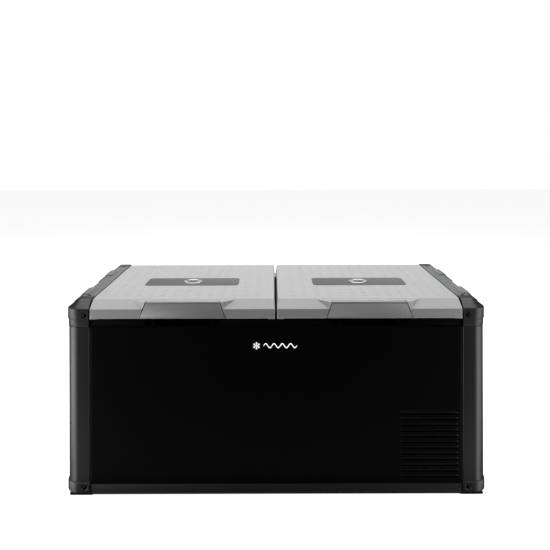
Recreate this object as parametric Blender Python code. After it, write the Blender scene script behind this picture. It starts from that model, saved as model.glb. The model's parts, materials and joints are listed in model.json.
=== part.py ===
"""Dual-zone compressor cooler: steel cabinet, two rear-hinged lids, compressor bay at the lower right.

Metres. +X is the right-hand side, +Y the back, +Z up. The origin is on the floor under the middle.
"""

import math

import bmesh
import bpy
from mathutils import Matrix, Vector

# ---------------------------------------------------------------- driving dimensions
HALF_W = 0.4560            # outer face of the corner posts, from the middle
HALF_D = 0.2295
CORNER_R = 0.0270          # plan radius of posts and caps
POST_LEG = 0.0498          # how far a post wraps onto the front and the side
CAP_LEG = 0.0492
CAP_PROUD = 0.0025         # caps stand this far outside the posts
PANEL_GAP = 0.0020         # shadow gap between a post and a panel

FOOT_H = 0.0030
PANEL_Z = (0.0243, 0.3640)
FRAME_Z = (0.3643, 0.3805)  # top frame, under the lids
LID_Z = 0.3810
SHOULDER_Z = 0.4038        # where the vertical faces turn into the chamfer
TOP_Z = 0.4210
CHAMFER = 0.0230           # plan width of the chamfer all round the top

LID_X = (0.0022, 0.4045)   # inner and outer side of a lid, from the middle
LID_Y = (-0.2315, 0.2150)
HINGE = (0.2265, 0.3935)   # y, z of the lids' hinge axis
LATCH = (-0.2198, 0.4155)  # y, z of the latch levers' pivot

MOUTH_Y = (-0.1880, 0.1830)
LINER_X = (0.0250, 0.3700)
LINER_Y = (-0.1900, 0.1850)
LINER_T = 0.0015
DEEP_FLOOR = 0.0450
SHALLOW_FLOOR = 0.2250
BAY_X = 0.0300
BAY_TOP = 0.1880

HANDLE_PIVOT = (0.4640, 0.3700)  # x, z
HANDLE_MIDDLE = -0.0260         # the carrying point lies a little ahead of the middle
HANDLE_Y = 0.1060               # the arms lie this far in front of and behind it
FAN = (0.330, 0.100)       # x, z of the fan's axis
CLEAR = 0.0003             # gap between pieces that touch

SIDES = {"left": -1, "right": 1}
ENDS = {"front": -1, "rear": 1}


# ---------------------------------------------------------------- materials
def principled(name, color, roughness, metallic=0.0):
    material = bpy.data.materials.new(name)
    material.use_nodes = True
    shader = material.node_tree.nodes["Principled BSDF"]
    shader.inputs["Base Color"].default_value = (*color, 1.0)
    shader.inputs["Roughness"].default_value = roughness
    shader.inputs["Metallic"].default_value = metallic
    material.diffuse_color = (*color, 1.0)
    return material


def make_materials():
    return {
        "panel_steel": principled("panel_steel", (0.008, 0.008, 0.009), 0.45),
        "post_aluminium": principled("post_aluminium", (0.030, 0.030, 0.032), 0.35, 0.6),
        "rail_aluminium": principled("rail_aluminium", (0.200, 0.202, 0.206), 0.50),
        "cap_plastic": principled("cap_plastic", (0.025, 0.025, 0.026), 0.50),
        "lid_plastic": principled("lid_plastic", (0.560, 0.565, 0.570), 0.45),
        "latch_plastic": principled("latch_plastic", (0.420, 0.425, 0.430), 0.45),
        "badge_plastic": principled("badge_plastic", (0.085, 0.088, 0.092), 0.40),
        "rubber": principled("rubber", (0.015, 0.015, 0.015), 0.80),
        "foam": principled("foam", (0.700, 0.620, 0.420), 0.90),
        "liner_plastic": principled("liner_plastic", (0.620, 0.640, 0.650), 0.35),
        "evaporator_aluminium": principled("evaporator_aluminium", (0.600, 0.600, 0.620), 0.30, 1.0),
        "steel": principled("steel", (0.450, 0.450, 0.460), 0.30, 1.0),
        "compressor_enamel": principled("compressor_enamel", (0.012, 0.012, 0.013), 0.30),
        "fan_plastic": principled("fan_plastic", (0.020, 0.020, 0.021), 0.50),
        "board_green": principled("board_green", (0.020, 0.120, 0.050), 0.50),
        "control_plastic": principled("control_plastic", (0.018, 0.018, 0.020), 0.30),
        "key_rubber": principled("key_rubber", (0.250, 0.255, 0.260), 0.60),
    }


# ---------------------------------------------------------------- shape tools
def finish(name, bm, material=None, origin=(0.0, 0.0, 0.0)):
    """Turn a bmesh in world coordinates into a named object whose origin is at the given point."""
    bmesh.ops.recalc_face_normals(bm, faces=bm.faces)
    bmesh.ops.translate(bm, verts=bm.verts, vec=-Vector(origin))
    mesh = bpy.data.meshes.new(name)
    bm.to_mesh(mesh)
    bm.free()
    piece = bpy.data.objects.new(name, mesh)
    piece.location = origin
    bpy.context.collection.objects.link(piece)
    if material:
        mesh.materials.append(material)
    smooth(piece)
    return piece


def smooth(piece):
    piece.data.shade_smooth()
    piece.data.set_sharp_from_angle(angle=math.radians(32))


def loft(name, loops, material=None, ring=False, origin=(0.0, 0.0, 0.0)):
    """Join loops of equal length into a skin: the ends are capped, or joined to each other for a ring."""
    bm = bmesh.new()
    rows = [[bm.verts.new(point) for point in loop] for loop in loops]
    pairs = list(zip(rows, rows[1:]))
    if ring:
        pairs.append((rows[-1], rows[0]))
    count = len(rows[0])
    for low, high in pairs:
        for i in range(count):
            j = (i + 1) % count
            bm.faces.new((low[i], low[j], high[j], high[i]))
    if not ring:
        bm.faces.new(rows[0])
        bm.faces.new(rows[-1])
    return finish(name, bm, material, origin)


def prism(name, outline, axis, low, high, material=None, origin=(0.0, 0.0, 0.0)):
    """Extrude a flat outline along an axis; its two numbers are the other two axes in X, Y, Z order."""
    def place(a, b, along):
        point = [a, b]
        point.insert("xyz".index(axis), along)
        return point

    loops = [[place(a, b, along) for a, b in outline] for along in (low, high)]
    return loft(name, loops, material, origin=origin)


def box(name, low, high, material=None, origin=(0.0, 0.0, 0.0)):
    outline = [(low[0], low[1]), (high[0], low[1]), (high[0], high[1]), (low[0], high[1])]
    return prism(name, outline, "z", low[2], high[2], material, origin)


def hull(name, points, material=None, origin=(0.0, 0.0, 0.0)):
    bm = bmesh.new()
    for point in points:
        bm.verts.new(point)
    found = bmesh.ops.convex_hull(bm, input=bm.verts)
    inside = [item for item in found["geom_interior"] if isinstance(item, bmesh.types.BMVert)]
    bmesh.ops.delete(bm, geom=inside, context="VERTS")
    return finish(name, bm, material, origin)


def arc(centre, radius, start, stop, steps):
    """Points on an arc, angles in degrees, both ends included."""
    points = []
    for i in range(steps + 1):
        angle = math.radians(start + (stop - start) * i / steps)
        points.append((centre[0] + radius * math.cos(angle), centre[1] + radius * math.sin(angle)))
    return points


def rounded(a0, a1, b0, b1, radius, steps=4):
    """A rectangle with round corners, as a list of flat points."""
    corners = (((a1, b0), 270), ((a1, b1), 0), ((a0, b1), 90), ((a0, b0), 180))
    points = []
    for (a, b), start in corners:
        centre = (a + math.copysign(radius, a0 + a1 - 2 * a), b + math.copysign(radius, b0 + b1 - 2 * b))
        points += arc(centre, radius, start, start + 90, steps)
    return points


def at_height(outline, z):
    return [(x, y, z) for x, y in outline]


def cylinder(name, centre, radius, axis, low, high, sides=16, material=None, origin=(0.0, 0.0, 0.0)):
    return prism(name, arc(centre, radius, 0, 360, sides)[:-1], axis, low, high, material, origin)


def combine(piece, tools, operation):
    """Boolean the tools into the piece, keep the result and delete the tools."""
    for tool in tools:
        step = piece.modifiers.new(operation.lower(), "BOOLEAN")
        step.operation = operation
        step.solver = "EXACT"
        step.object = tool
    bpy.context.view_layer.update()
    result = bpy.data.meshes.new_from_object(piece.evaluated_get(bpy.context.evaluated_depsgraph_get()))
    piece.modifiers.clear()
    piece.data = result
    result.name = piece.name
    for tool in tools:
        bpy.data.objects.remove(tool)
    smooth(piece)
    return piece


def cut(piece, *tools):
    return combine(piece, tools, "DIFFERENCE")


def join(piece, *tools):
    return combine(piece, tools, "UNION")


def span(side, near, far):
    """Low and high X of a stretch given by its distances from the middle plane."""
    return sorted((side * near, side * far))


# ---------------------------------------------------------------- cabinet corners
def corner_point(side, end, u, v):
    """u runs in from the side face, v in from the front or rear face."""
    return side * (HALF_W - u), end * (HALF_D - v)


def corner_arc(depth, outward=True):
    """The round part of a corner at a depth below the post's surface; a negative depth is proud."""
    points = arc((CORNER_R, CORNER_R), CORNER_R - depth, 270, 180, 6)
    return points if outward else points[::-1]


def angle_outline(leg, proud, wall):
    """An L with a round outer and inner corner."""
    return ([(leg, -proud)] + corner_arc(-proud) + [(-proud, leg), (wall, leg)]
            + corner_arc(wall, outward=False) + [(leg, wall)])


def corner_loop(side, end, outline, z):
    return [(*corner_point(side, end, u, v), z) for u, v in outline]


def corner_post(name, side, end, material):
    tongue, face, back = 0.0590, 0.0034, 0.0052  # the panels' edges sit on the tongues
    outline = ([(POST_LEG, 0.0)] + corner_arc(0.0)
               + [(0.0, POST_LEG), (face, POST_LEG), (face, tongue), (back, tongue)]
               + corner_arc(back, outward=False) + [(tongue, back), (tongue, face), (POST_LEG, face)])
    loops = [corner_loop(side, end, outline, z) for z in (0.0293, FRAME_Z[0] - CLEAR)]
    return loft(name, loops, material)


def bottom_cap(name, side, end, material):
    leg, wall, base = 0.0515, 0.0070, FOOT_H
    levels = ((0.0, base), (CAP_PROUD, base + 0.0035), (CAP_PROUD, 0.0278), (0.0015, 0.0290))
    loops = [corner_loop(side, end, angle_outline(leg, proud, wall), z) for proud, z in levels]
    return loft(name, loops, material)


def foot(name, side, end, material):
    """A rubber pad with a plug that fills the tray's corner pocket."""
    pad = rounded(*span(side, 0.3980, 0.4500), *span(end, 0.1900, 0.2285), 0.004, 3)
    plug = rounded(*span(side, 0.4080, 0.4270), *span(end, 0.1930, 0.2150), 0.004, 3)
    under_tray = FOOT_H - CLEAR
    loops = [at_height(pad, 0.0), at_height(pad, under_tray),
             at_height(plug, under_tray), at_height(plug, 0.0117)]
    return loft(name, loops, material)


def top_cap(name, side, end, material):
    def block(proud, z):
        outline = [(CAP_LEG, -proud)] + corner_arc(-proud) + [(-proud, CAP_LEG), (CAP_LEG, CAP_LEG)]
        return corner_loop(side, end, outline, z)

    lower = CAP_PROUD - 0.0016
    levels = ((0.0, 0.3645), (lower, 0.3655), (lower, 0.3796), (CAP_PROUD, 0.3806), (CAP_PROUD, SHOULDER_Z),
              (CAP_PROUD - CHAMFER, TOP_Z))
    return loft(name, [block(proud, z) for proud, z in levels], material)


# ---------------------------------------------------------------- base and skins
def base_tray(material):
    """A pan with a skirt that shows between the bottom caps and a small lip along the skirt's lower edge."""
    def outline(lip, inset):
        quarter = [(0.4042 - inset, HALF_D + 0.0003 + lip - inset), (0.4042 - inset, 0.2215 - inset),
                   (0.4290 - 0.4 * inset, 0.2215 - inset), (0.4480 - inset, 0.2025 - 0.4 * inset),
                   (0.4480 - inset, 0.1777 - inset), (HALF_W + 0.0003 + lip - inset, 0.1777 - inset)]
        back = quarter[::-1]
        return (quarter + [(x, -y) for x, y in back]
                + [(-x, -y) for x, y in quarter] + [(-x, y) for x, y in back])

    wall, lip, bottom, top = 0.0025, 0.0015, FOOT_H, 0.0240
    levels = ((0.0, wall, 0.0120), (0.0, wall, bottom), (lip, 0.0, bottom), (lip, 0.0, bottom + 0.0025),
              (0.0, 0.0, bottom + 0.0032), (0.0, 0.0, top), (0.0, wall, top), (0.0, wall, 0.0145))
    loops = [at_height(outline(lip_now, inset), z) for lip_now, inset, z in levels]
    return loft("base_tray", loops, material)


def panel_outline(half_length):
    """Plan of a folded sheet: a flat field, and edges that fall away slightly over their last 10 mm."""
    hem = 0.010
    return [(-half_length, 0.0012), (-half_length + hem, 0.0004), (half_length - hem, 0.0004),
            (half_length, 0.0012), (half_length, 0.0030), (-half_length, 0.0030)]


def louvre_cutters(axis, along, low, high, first_z, count):
    """Slots with round ends, in a column."""
    pitch, half_height = 0.01235, 0.0030
    tools = []
    for i in range(count):
        z = first_z + i * pitch
        slot = rounded(along[0], along[1], z - half_height, z + half_height, half_height - 0.00001, 3)
        tools.append(prism("slot", slot, axis, low, high))
    return tools


def front_panel(material):
    outline = [(x, -HALF_D + v) for x, v in panel_outline(HALF_W - POST_LEG - PANEL_GAP)]
    piece = prism("front_panel", outline, "z", *PANEL_Z, material)
    return cut(piece, *louvre_cutters("y", (0.271, 0.395), -0.24, -0.22, 0.0394, 12))


def rear_panel(material):
    outline = [(x, HALF_D - v) for x, v in panel_outline(HALF_W - POST_LEG - PANEL_GAP)]
    return prism("rear_panel", outline, "z", *PANEL_Z, material)


def side_panel(name, side, material):
    outline = [(side * (HALF_W - v), y) for y, v in panel_outline(HALF_D - POST_LEG - PANEL_GAP)]
    piece = prism(name, outline, "z", *PANEL_Z, material)
    if side > 0:
        openings = louvre_cutters("x", (0.020, 0.140), 0.44, 0.47, 0.0455, 9)
        openings.append(box("bezel_hole", (0.44, -0.1490, 0.1290), (0.47, -0.0410, 0.1710)))
        openings.append(box("socket_hole", (0.44, -0.1490, 0.0460), (0.47, -0.0710, 0.0840)))
        cut(piece, *openings)
    return piece


# ---------------------------------------------------------------- top frame and rails
def top_frame(material):
    """The frame under both lids: two mouths, a thin rib between the lids, and room for each latch."""
    low_z, high_z = FRAME_Z
    outline = rounded(-LID_X[1], LID_X[1], -0.2272, 0.2288, 0.003, 2)
    piece = prism("top_frame", outline, "z", low_z, high_z, material)
    rib = box("rib", (-0.0013, -0.2262, high_z - 0.004), (0.0013, 0.2100, 0.3965))
    join(piece, rib)
    tools = []
    for side in SIDES.values():
        mouth = rounded(*span(side, 0.0270, 0.3680), *MOUTH_Y, 0.030, 5)
        tools.append(prism("mouth", mouth, "z", low_z - 0.01, high_z + 0.01))
        middle = side * sum(LID_X) / 2
        tools.append(box("scoop", (middle - 0.060, -0.24, low_z + 0.0022),
                         (middle + 0.060, -0.2130, high_z + 0.01)))
        for hook in (-0.0745, 0.0745):
            x = middle + hook
            tools.append(box("strike", (x - 0.0075, -0.24, low_z + 0.0045),
                             (x + 0.0075, -0.2170, high_z + 0.01)))
    return cut(piece, *tools)


def side_rail(name, side, material):
    """An upside-down channel between the top caps, with the same chamfer as the lids."""
    inner, outer, wall = HALF_W - CAP_LEG, HALF_W, 0.005
    outline = [(inner, 0.3645), (inner, 0.4205), (0.4350, 0.4205), (outer, 0.4050), (outer, 0.3645),
               (outer - wall, 0.3645), (outer - wall, 0.4022), (0.4334, 0.4155), (inner + wall, 0.4155),
               (inner + wall, 0.3645)]
    half = HALF_D - CAP_LEG - CLEAR
    return prism(name, [(side * x, z) for x, z in outline], "y", -half, half, material)


# ---------------------------------------------------------------- insulation and liners
def grown(rectangle, by):
    x0, x1, y0, y1, radius = rectangle
    return rounded(x0 - by, x1 + by, y0 - by, y1 + by, radius + by, 5)


def liner_mouth(side):
    return (*span(side, *LINER_X), *LINER_Y, 0.030)


def liner(name, side, floor, material):
    mouth = liner_mouth(side)
    flange_low, flange_high = 0.3622, 0.3640
    levels = ((LINER_T, floor - LINER_T), (LINER_T, flange_low), (0.012, flange_low), (0.012, flange_high),
              (0.0, flange_high), (0.0, floor))
    return loft(name, [at_height(grown(mouth, by), z) for by, z in levels], material)


def evaporator(name, side, low, high, material):
    """A thin band around the liner; the foam's hollow leaves room for it."""
    mouth = liner_mouth(side)
    inner, outer = LINER_T + 0.0004, LINER_T + 0.0016
    levels = ((outer, low), (outer, high), (inner, high), (inner, low))
    return loft(name, [at_height(grown(mouth, by), z) for by, z in levels], material, ring=True)


def insulation(material):
    low, high = 0.0150, 0.3618
    over_tray = 0.0295

    def outline(skin, radius, z):
        return at_height(rounded(-HALF_W + skin, HALF_W - skin, -HALF_D + skin, HALF_D - skin, radius, 5), z)

    in_tray, in_walls = (0.0120, 0.0280), (0.0055, CORNER_R - 0.0055)
    levels = ((*in_tray, low), (*in_tray, over_tray), (*in_walls, over_tray), (*in_walls, high))
    piece = loft("insulation", [outline(*level) for level in levels], material)
    tools = [box("bay", (BAY_X, -0.3, low - 0.01), (0.5, 0.3, BAY_TOP))]
    for side, floor in ((-1, DEEP_FLOOR), (1, SHALLOW_FLOOR)):
        hollow = grown(liner_mouth(side), LINER_T + 0.0022)
        tools.append(prism("hollow", hollow, "z", floor - LINER_T - 0.0005, high + 0.01))
    return cut(piece, *tools)


# ---------------------------------------------------------------- lids
def lid_levels(inset):
    """Front and rear edge of the lid at each height, with a thin lip at the bottom and a small top radius."""
    y0, y1 = LID_Y
    rise = TOP_Z - SHOULDER_Z
    soft = 0.0020
    part = (rise - soft) / rise
    return ((0.0, y0 - 0.0010, y1, LID_Z), (0.0, y0 - 0.0010, y1, LID_Z + 0.0025),
            (0.0, y0, y1, LID_Z + 0.0031), (0.0, y0, y1, SHOULDER_Z),
            (0.0, y0 + CHAMFER * part, y1 - 0.020 * part, TOP_Z - soft),
            (inset, y0 + CHAMFER, y1 - 0.020, TOP_Z))


def lid_shell(name, side, material):
    inner, outer = LID_X
    middle = side * (inner + outer) / 2
    pivot = (middle, *HINGE)
    loops = []
    for inset, y0, y1, z in lid_levels(0.0020):
        loops.append(at_height(rounded(*span(side, inner + inset, outer - inset), y0, y1, 0.004, 3), z))
    piece = loft(name, loops, material)

    # The console: a block in the middle of the front chamfer that carries the latch lever.
    console = []
    for s in (-1, 1):
        console += [(middle + s * 0.1138, -0.2080, TOP_Z), (middle + s * 0.0810, -0.2300, 0.4177),
                    (middle + s * 0.0862, -0.2318, SHOULDER_Z),
                    (middle + s * 0.0945, -0.2330, LID_Z + 0.0002),
                    (middle + s * 0.0800, -0.2050, LID_Z + 0.0002)]
    join(piece, hull("console", console))

    notch = [(middle - 0.0957, LID_Z - 0.002), (middle + 0.0957, LID_Z - 0.002),
             (middle + 0.0775, 0.4300), (middle - 0.0775, 0.4300)]
    tools = [
        prism("notch", notch, "y", -0.24, LATCH[0] + 0.0032),
        cylinder("trunnion_hole", LATCH, 0.0025, "x", middle - 0.0860, middle + 0.0860, 12),
        prism("hollow", rounded(*span(side, inner + 0.004, outer - 0.004), -0.2030, 0.2110, 0.004, 3), "z",
              LID_Z - 0.01, TOP_Z - 0.0040),
        prism("badge_seat", rounded(middle - 0.1134, middle + 0.1134, -0.0729, 0.0119, 0.0124, 4), "z",
              TOP_Z - 0.0012, TOP_Z + 0.01),
    ]
    cut(piece, *tools)

    # Two hinge knuckles on the rear wall.
    for offset in (-0.110, 0.110):
        x = middle + offset
        web = [(LID_Y[1] - 0.003, HINGE[1] - 0.004), (HINGE[0], HINGE[1] - 0.0052),
               (HINGE[0], HINGE[1] + 0.0052), (LID_Y[1] - 0.003, HINGE[1] + 0.009)]
        knuckle = cylinder("knuckle", HINGE, 0.0055, "x", x - 0.0200, x + 0.0200, 16)
        join(piece, prism("web", web, "x", x - 0.0199, x + 0.0199), knuckle)
    cut(piece, cylinder("pin_hole", HINGE, 0.0025, "x", middle - 0.16, middle + 0.16, 12))
    return move_origin(piece, pivot)


def move_origin(piece, point):
    piece.data.transform(Matrix.Translation(-Vector(point)))
    piece.location = point
    return piece


def lid_liner(name, side, material):
    """The foam-filled inside of a lid, with a plug that reaches into the mouth."""
    inner, outer = LID_X
    plug = rounded(*span(side, 0.0310, 0.3640), MOUTH_Y[0] + 0.004, MOUTH_Y[1] - 0.004, 0.026, 5)
    body = rounded(*span(side, inner + 0.0045, outer - 0.0045), -0.2025, 0.2105, 0.004, 5)
    loops = [at_height(plug, 0.3560), at_height(plug, 0.3840),
             at_height(body, 0.3840), at_height(body, 0.4166)]
    origin = (side * (inner + outer) / 2, *HINGE)
    return loft(name, loops, material, origin=origin)


def lid_seal(name, side, material):
    rectangle = (*span(side, 0.0220, 0.3730), MOUTH_Y[0] - 0.004, MOUTH_Y[1] + 0.004, 0.034)
    levels = ((0.0090, 0.3808), (0.0090, 0.3837), (0.0, 0.3837), (0.0, 0.3808))
    origin = (side * sum(LID_X) / 2, *HINGE)
    loops = [at_height(grown(rectangle, by), z) for by, z in levels]
    return loft(name, loops, material, ring=True, origin=origin)


def badge_plate(name, side, material):
    middle = side * sum(LID_X) / 2
    full = rounded(middle - 0.1130, middle + 0.1130, -0.0725, 0.0115, 0.0120, 4)
    edge = rounded(middle - 0.1122, middle + 0.1122, -0.0717, 0.0107, 0.0112, 4)
    loops = [at_height(full, TOP_Z - 0.0009), at_height(full, TOP_Z + 0.0003),
             at_height(edge, TOP_Z + 0.0008)]
    return loft(name, loops, material, origin=(middle, *HINGE))


def latch_lever(name, side, material):
    """A wide lever that closes the lid's front; it turns about its top edge and opens at the bottom."""
    middle = side * sum(LID_X) / 2
    back = LATCH[0] + 0.0015
    corners = []
    for s in (-1, 1):
        corners += [(middle + s * 0.0935, -0.2335, LID_Z + 0.0002), (middle + s * 0.0800, -0.2300, 0.4177),
                    (middle + s * 0.0793, back, 0.4190), (middle + s * 0.0935, back, LID_Z + 0.0002)]
    piece = hull(name, corners, material)
    step = piece.modifiers.new("edge", "BEVEL")
    step.width = 0.0007
    step.segments = 2
    cut(piece, box("finger_room", (middle - 0.060, -0.2300, 0.37), (middle + 0.060, -0.2205, 0.3950)))
    hooks = []
    for offset in (-0.0745, 0.0745):
        x = middle + offset
        hooks.append(box("hook", (x - 0.0060, -0.2245, 0.3715), (x + 0.0060, -0.2205, 0.3900)))
    trunnion = cylinder("trunnion", LATCH, 0.0020, "x", middle - 0.0850, middle + 0.0850, 12)
    join(piece, trunnion, *hooks)
    return move_origin(piece, (middle, *LATCH))


def hinge_bracket(name, side, material):
    """A strip on the frame's rear ledge with an ear on each side of both knuckles."""
    middle = side * sum(LID_X) / 2
    piece = box(name, (middle - 0.1450, 0.2180, 0.3808), (middle + 0.1450, 0.2335, 0.3830), material)
    ears = []
    for offset in (-0.1330, -0.0870, 0.0870, 0.1330):
        x = middle + offset
        outline = arc(HINGE, 0.0070, 0, 180, 8) + [(HINGE[0] - 0.0070, 0.3820), (HINGE[0] + 0.0070, 0.3820)]
        ears.append(prism("ear", outline, "x", x - 0.0025, x + 0.0025))
    join(piece, *ears)
    return cut(piece, cylinder("pin_hole", HINGE, 0.0024, "x", middle - 0.16, middle + 0.16, 12))


def hinge_pin(name, side, material):
    middle = side * sum(LID_X) / 2
    return cylinder(name, HINGE, 0.0020, "x", middle - 0.1400, middle + 0.1400, 12, material)


# ---------------------------------------------------------------- carrying handles
def handle_bracket(name, side, end, material):
    """Hooks over the side rail and carries one arm of the drop handle in a slot low on the side."""
    outline = [(0.4563, 0.3480), (0.4690, 0.3480), (0.4705, 0.3500), (0.4705, 0.3790), (0.4585, 0.3880),
               (0.4585, 0.4060), (0.4450, 0.4162), (0.4390, 0.4240), (0.4350, 0.4255), (0.4250, 0.4255),
               (0.4200, 0.4208), (0.4351, 0.4208), (0.4563, 0.4053)]
    middle, half, taper = HANDLE_MIDDLE + end * HANDLE_Y, 0.0300, 0.0060
    flat = [(x, z) for x, z in outline]
    low = [(x, min(z, 0.4225)) for x, z in outline]
    stations = ((low, -half), (flat, -half + taper), (flat, half - taper), (low, half))
    loops = [[(side * x, middle + along, z) for x, z in shape] for shape, along in stations]
    piece = loft(name, loops, material)
    x0, x1 = span(side, 0.4550, 0.4720)
    slot = box("slot", (x0, middle - 0.0068, 0.3400), (x1, middle + 0.0068, 0.3840))
    pivot = (side * HANDLE_PIVOT[0], HANDLE_PIVOT[1])
    hole = cylinder("hole", pivot, 0.0030, "y", middle - 0.0200, middle + 0.0200, 12)
    return cut(piece, slot, hole)


def handle(name, side, material):
    """A round bail with a thick grip, made of one skin along its path, and two trunnions."""
    x_pivot, z_pivot = HANDLE_PIVOT
    grip_x, grip_z, bend = 0.4665, 0.3100, 0.0200
    arm_r, grip_r = 0.0045, 0.0085
    half = [(x_pivot, HANDLE_Y, z_pivot + 0.0060, arm_r), (x_pivot, HANDLE_Y, z_pivot - 0.0150, arm_r),
            (grip_x, HANDLE_Y, grip_z + bend, arm_r)]
    for i in range(1, 5):
        turn = math.radians(90 * i / 4)
        y, z = HANDLE_Y - bend * (1 - math.cos(turn)), grip_z + bend * (1 - math.sin(turn))
        half.append((grip_x, y, z, arm_r))
    half += [(grip_x, HANDLE_Y - bend - 0.0060, grip_z, arm_r + 0.0005),
             (grip_x, HANDLE_Y - bend - 0.0080, grip_z, grip_r - 0.0008),
             (grip_x, HANDLE_Y - bend - 0.0110, grip_z, grip_r)]
    path = half + [(x, -y, z, r) for x, y, z, r in half[::-1]]
    centres = [Vector((side * x, HANDLE_MIDDLE + y, z)) for x, y, z, _ in path]
    loops = []
    for i, point in enumerate(centres):
        forward = (centres[min(i + 1, len(path) - 1)] - centres[max(i - 1, 0)]).normalized()
        across = Vector((1, 0, 0))
        across = (across - across.dot(forward) * forward).normalized()
        up = forward.cross(across)
        radius = path[i][3]
        loops.append([point + radius * (math.cos(a) * across + math.sin(a) * up)
                      for a in (math.tau * k / 14 for k in range(14))])
    pivot = (side * x_pivot, HANDLE_MIDDLE, z_pivot)
    piece = loft(name, loops, material)
    pins = []
    for end in ENDS.values():
        middle = HANDLE_MIDDLE + end * HANDLE_Y
        pins.append(cylinder("pin", (pivot[0], pivot[2]), 0.0026, "y", middle - 0.0180, middle + 0.0180, 12))
    join(piece, *pins)
    return move_origin(piece, pivot)


# ---------------------------------------------------------------- compressor bay
def compressor(material):
    """A hermetic shell on a base plate."""
    centre, floor = (0.150, 0.060), 0.0148
    profile = [(0.050, floor + 0.016), (0.058, floor + 0.026), (0.060, floor + 0.060),
               (0.0625, floor + 0.064), (0.0625, floor + 0.070), (0.058, floor + 0.076),
               (0.054, floor + 0.110), (0.040, floor + 0.130), (0.015, floor + 0.137)]
    loops = [at_height(arc(centre, radius, 0, 360, 24)[:-1], z) for radius, z in profile]
    piece = loft("compressor", loops, material)
    plate = rounded(centre[0] - 0.080, centre[0] + 0.080, centre[1] - 0.055, centre[1] + 0.055, 0.010, 3)
    base = prism("base", plate, "z", floor + 0.014, floor + 0.0175)
    feet = []
    for x in (-0.065, 0.065):
        for y in (-0.042, 0.042):
            spot = (centre[0] + x, centre[1] + y)
            feet.append(cylinder("foot", spot, 0.010, "z", floor, floor + 0.0150, 12))
    return join(piece, base, *feet)


def condenser(material):
    """Fins in front of a back plate, behind the front grille."""
    x0, x1, front, back = 0.268, 0.392, -0.2100, -0.1650
    spine, fin, count = 0.0040, 0.0012, 14
    outline = [(x1, back), (x0, back)]
    for i in range(count):
        x = x0 + (x1 - x0 - fin) * i / (count - 1)
        outline += [(x, back - spine), (x, front), (x + fin, front), (x + fin, back - spine)]
    outline.pop(2)
    outline.pop()
    return prism("condenser", outline, "z", 0.035, 0.165, material)


def fan_frame(material):
    x, z = FAN
    half, low, high = 0.0600, -0.1600, -0.1350
    outline = rounded(x - half, x + half, z - half, z + half, 0.006, 3)
    piece = prism("fan_frame", outline, "y", low, high, material)
    cut(piece, cylinder("throat", FAN, 0.0570, "y", low - 0.01, high + 0.01, 32))
    tools = [cylinder("motor_seat", FAN, 0.0170, "y", high - 0.0030, high, 16)]
    for i in range(3):
        turn = Matrix.Rotation(math.radians(90 + 120 * i), 4, "Y")
        spoke = box("spoke", (0.010, high - 0.0030, -0.0025), (0.0590, high, 0.0025))
        spoke.data.transform(Matrix.Translation((x, 0, z)) @ turn)
        tools.append(spoke)
    return join(piece, *tools)


def fan_rotor(material):
    """Hub and seven pitched blades."""
    x, z = FAN
    low, high = -0.1580, -0.1390
    piece = cylinder("fan_rotor", FAN, 0.0180, "y", low, high, 24, material)
    blades = []
    for i in range(7):
        blade = box("blade", (0.0150, -0.0009, -0.0120), (0.0535, 0.0009, 0.0120))
        pitch = Matrix.Rotation(math.radians(40), 4, "X")
        around = Matrix.Rotation(math.tau * i / 7, 4, "Y")
        blade.data.transform(Matrix.Translation((x, (low + high) / 2, z)) @ around @ pitch)
        blades.append(blade)
    join(piece, *blades)
    return move_origin(piece, (x, (low + high) / 2, z))


def control_board(material):
    return box("control_board", (0.4000, -0.1450, 0.0950), (0.4300, -0.0300, 0.1800), material)


# ---------------------------------------------------------------- controls and inlets on the right side
def side_loop(y0, y1, z0, z1, radius, x):
    return [(x, y, z) for y, z in rounded(y0, y1, z0, z1, radius, 3)]


BEZEL_Z = 0.1500
KEY_Y = (-0.0880, -0.0750, -0.0620, -0.0490)
KEY_NAMES = ("power", "set", "down", "up")


def control_bezel(material):
    face = 0.4580
    loops = [side_loop(-0.1485, -0.0415, 0.1295, 0.1705, 0.002, 0.4460),
             side_loop(-0.1485, -0.0415, 0.1295, 0.1705, 0.002, 0.4560),
             side_loop(-0.1550, -0.0350, 0.1230, 0.1770, 0.006, 0.4560),
             side_loop(-0.1550, -0.0350, 0.1230, 0.1770, 0.006, face - 0.0006),
             side_loop(-0.1540, -0.0360, 0.1240, 0.1760, 0.005, face)]
    piece = loft("control_bezel", loops, material)
    tools = [box("window", (face - 0.0012, -0.1470, 0.1370), (face + 0.01, -0.1000, 0.1630))]
    for y in KEY_Y:
        tools.append(cylinder("key_hole", (y, BEZEL_Z), 0.0053, "x", 0.44, 0.47, 20))
    return cut(piece, *tools)


def key(name, y, material):
    circle = [arc((y, BEZEL_Z), radius, 0, 360, 20)[:-1] for radius in (0.0050, 0.0042)]
    levels = ((circle[0], 0.4490), (circle[0], 0.4587), (circle[1], 0.4592))
    loops = [[(x, a, b) for a, b in ring] for ring, x in levels]
    return loft(name, loops, material, origin=(0.4592, y, BEZEL_Z))


def power_socket(material):
    """Mains inlet and low-voltage inlet in one housing."""
    loops = [side_loop(-0.1485, -0.0715, 0.0465, 0.0835, 0.002, 0.4340),
             side_loop(-0.1485, -0.0715, 0.0465, 0.0835, 0.002, 0.4560),
             side_loop(-0.1550, -0.0650, 0.0400, 0.0900, 0.005, 0.4560),
             side_loop(-0.1550, -0.0650, 0.0400, 0.0900, 0.005, 0.4575)]
    piece = loft("power_socket", loops, material)
    mains = prism("mains", rounded(-0.1440, -0.1170, 0.0550, 0.0750, 0.003, 3), "x", 0.4420, 0.47)
    low_voltage = prism("low_voltage", rounded(-0.1020, -0.0820, 0.0580, 0.0720, 0.003, 3), "x", 0.4420, 0.47)
    return cut(piece, mains, low_voltage)


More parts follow.
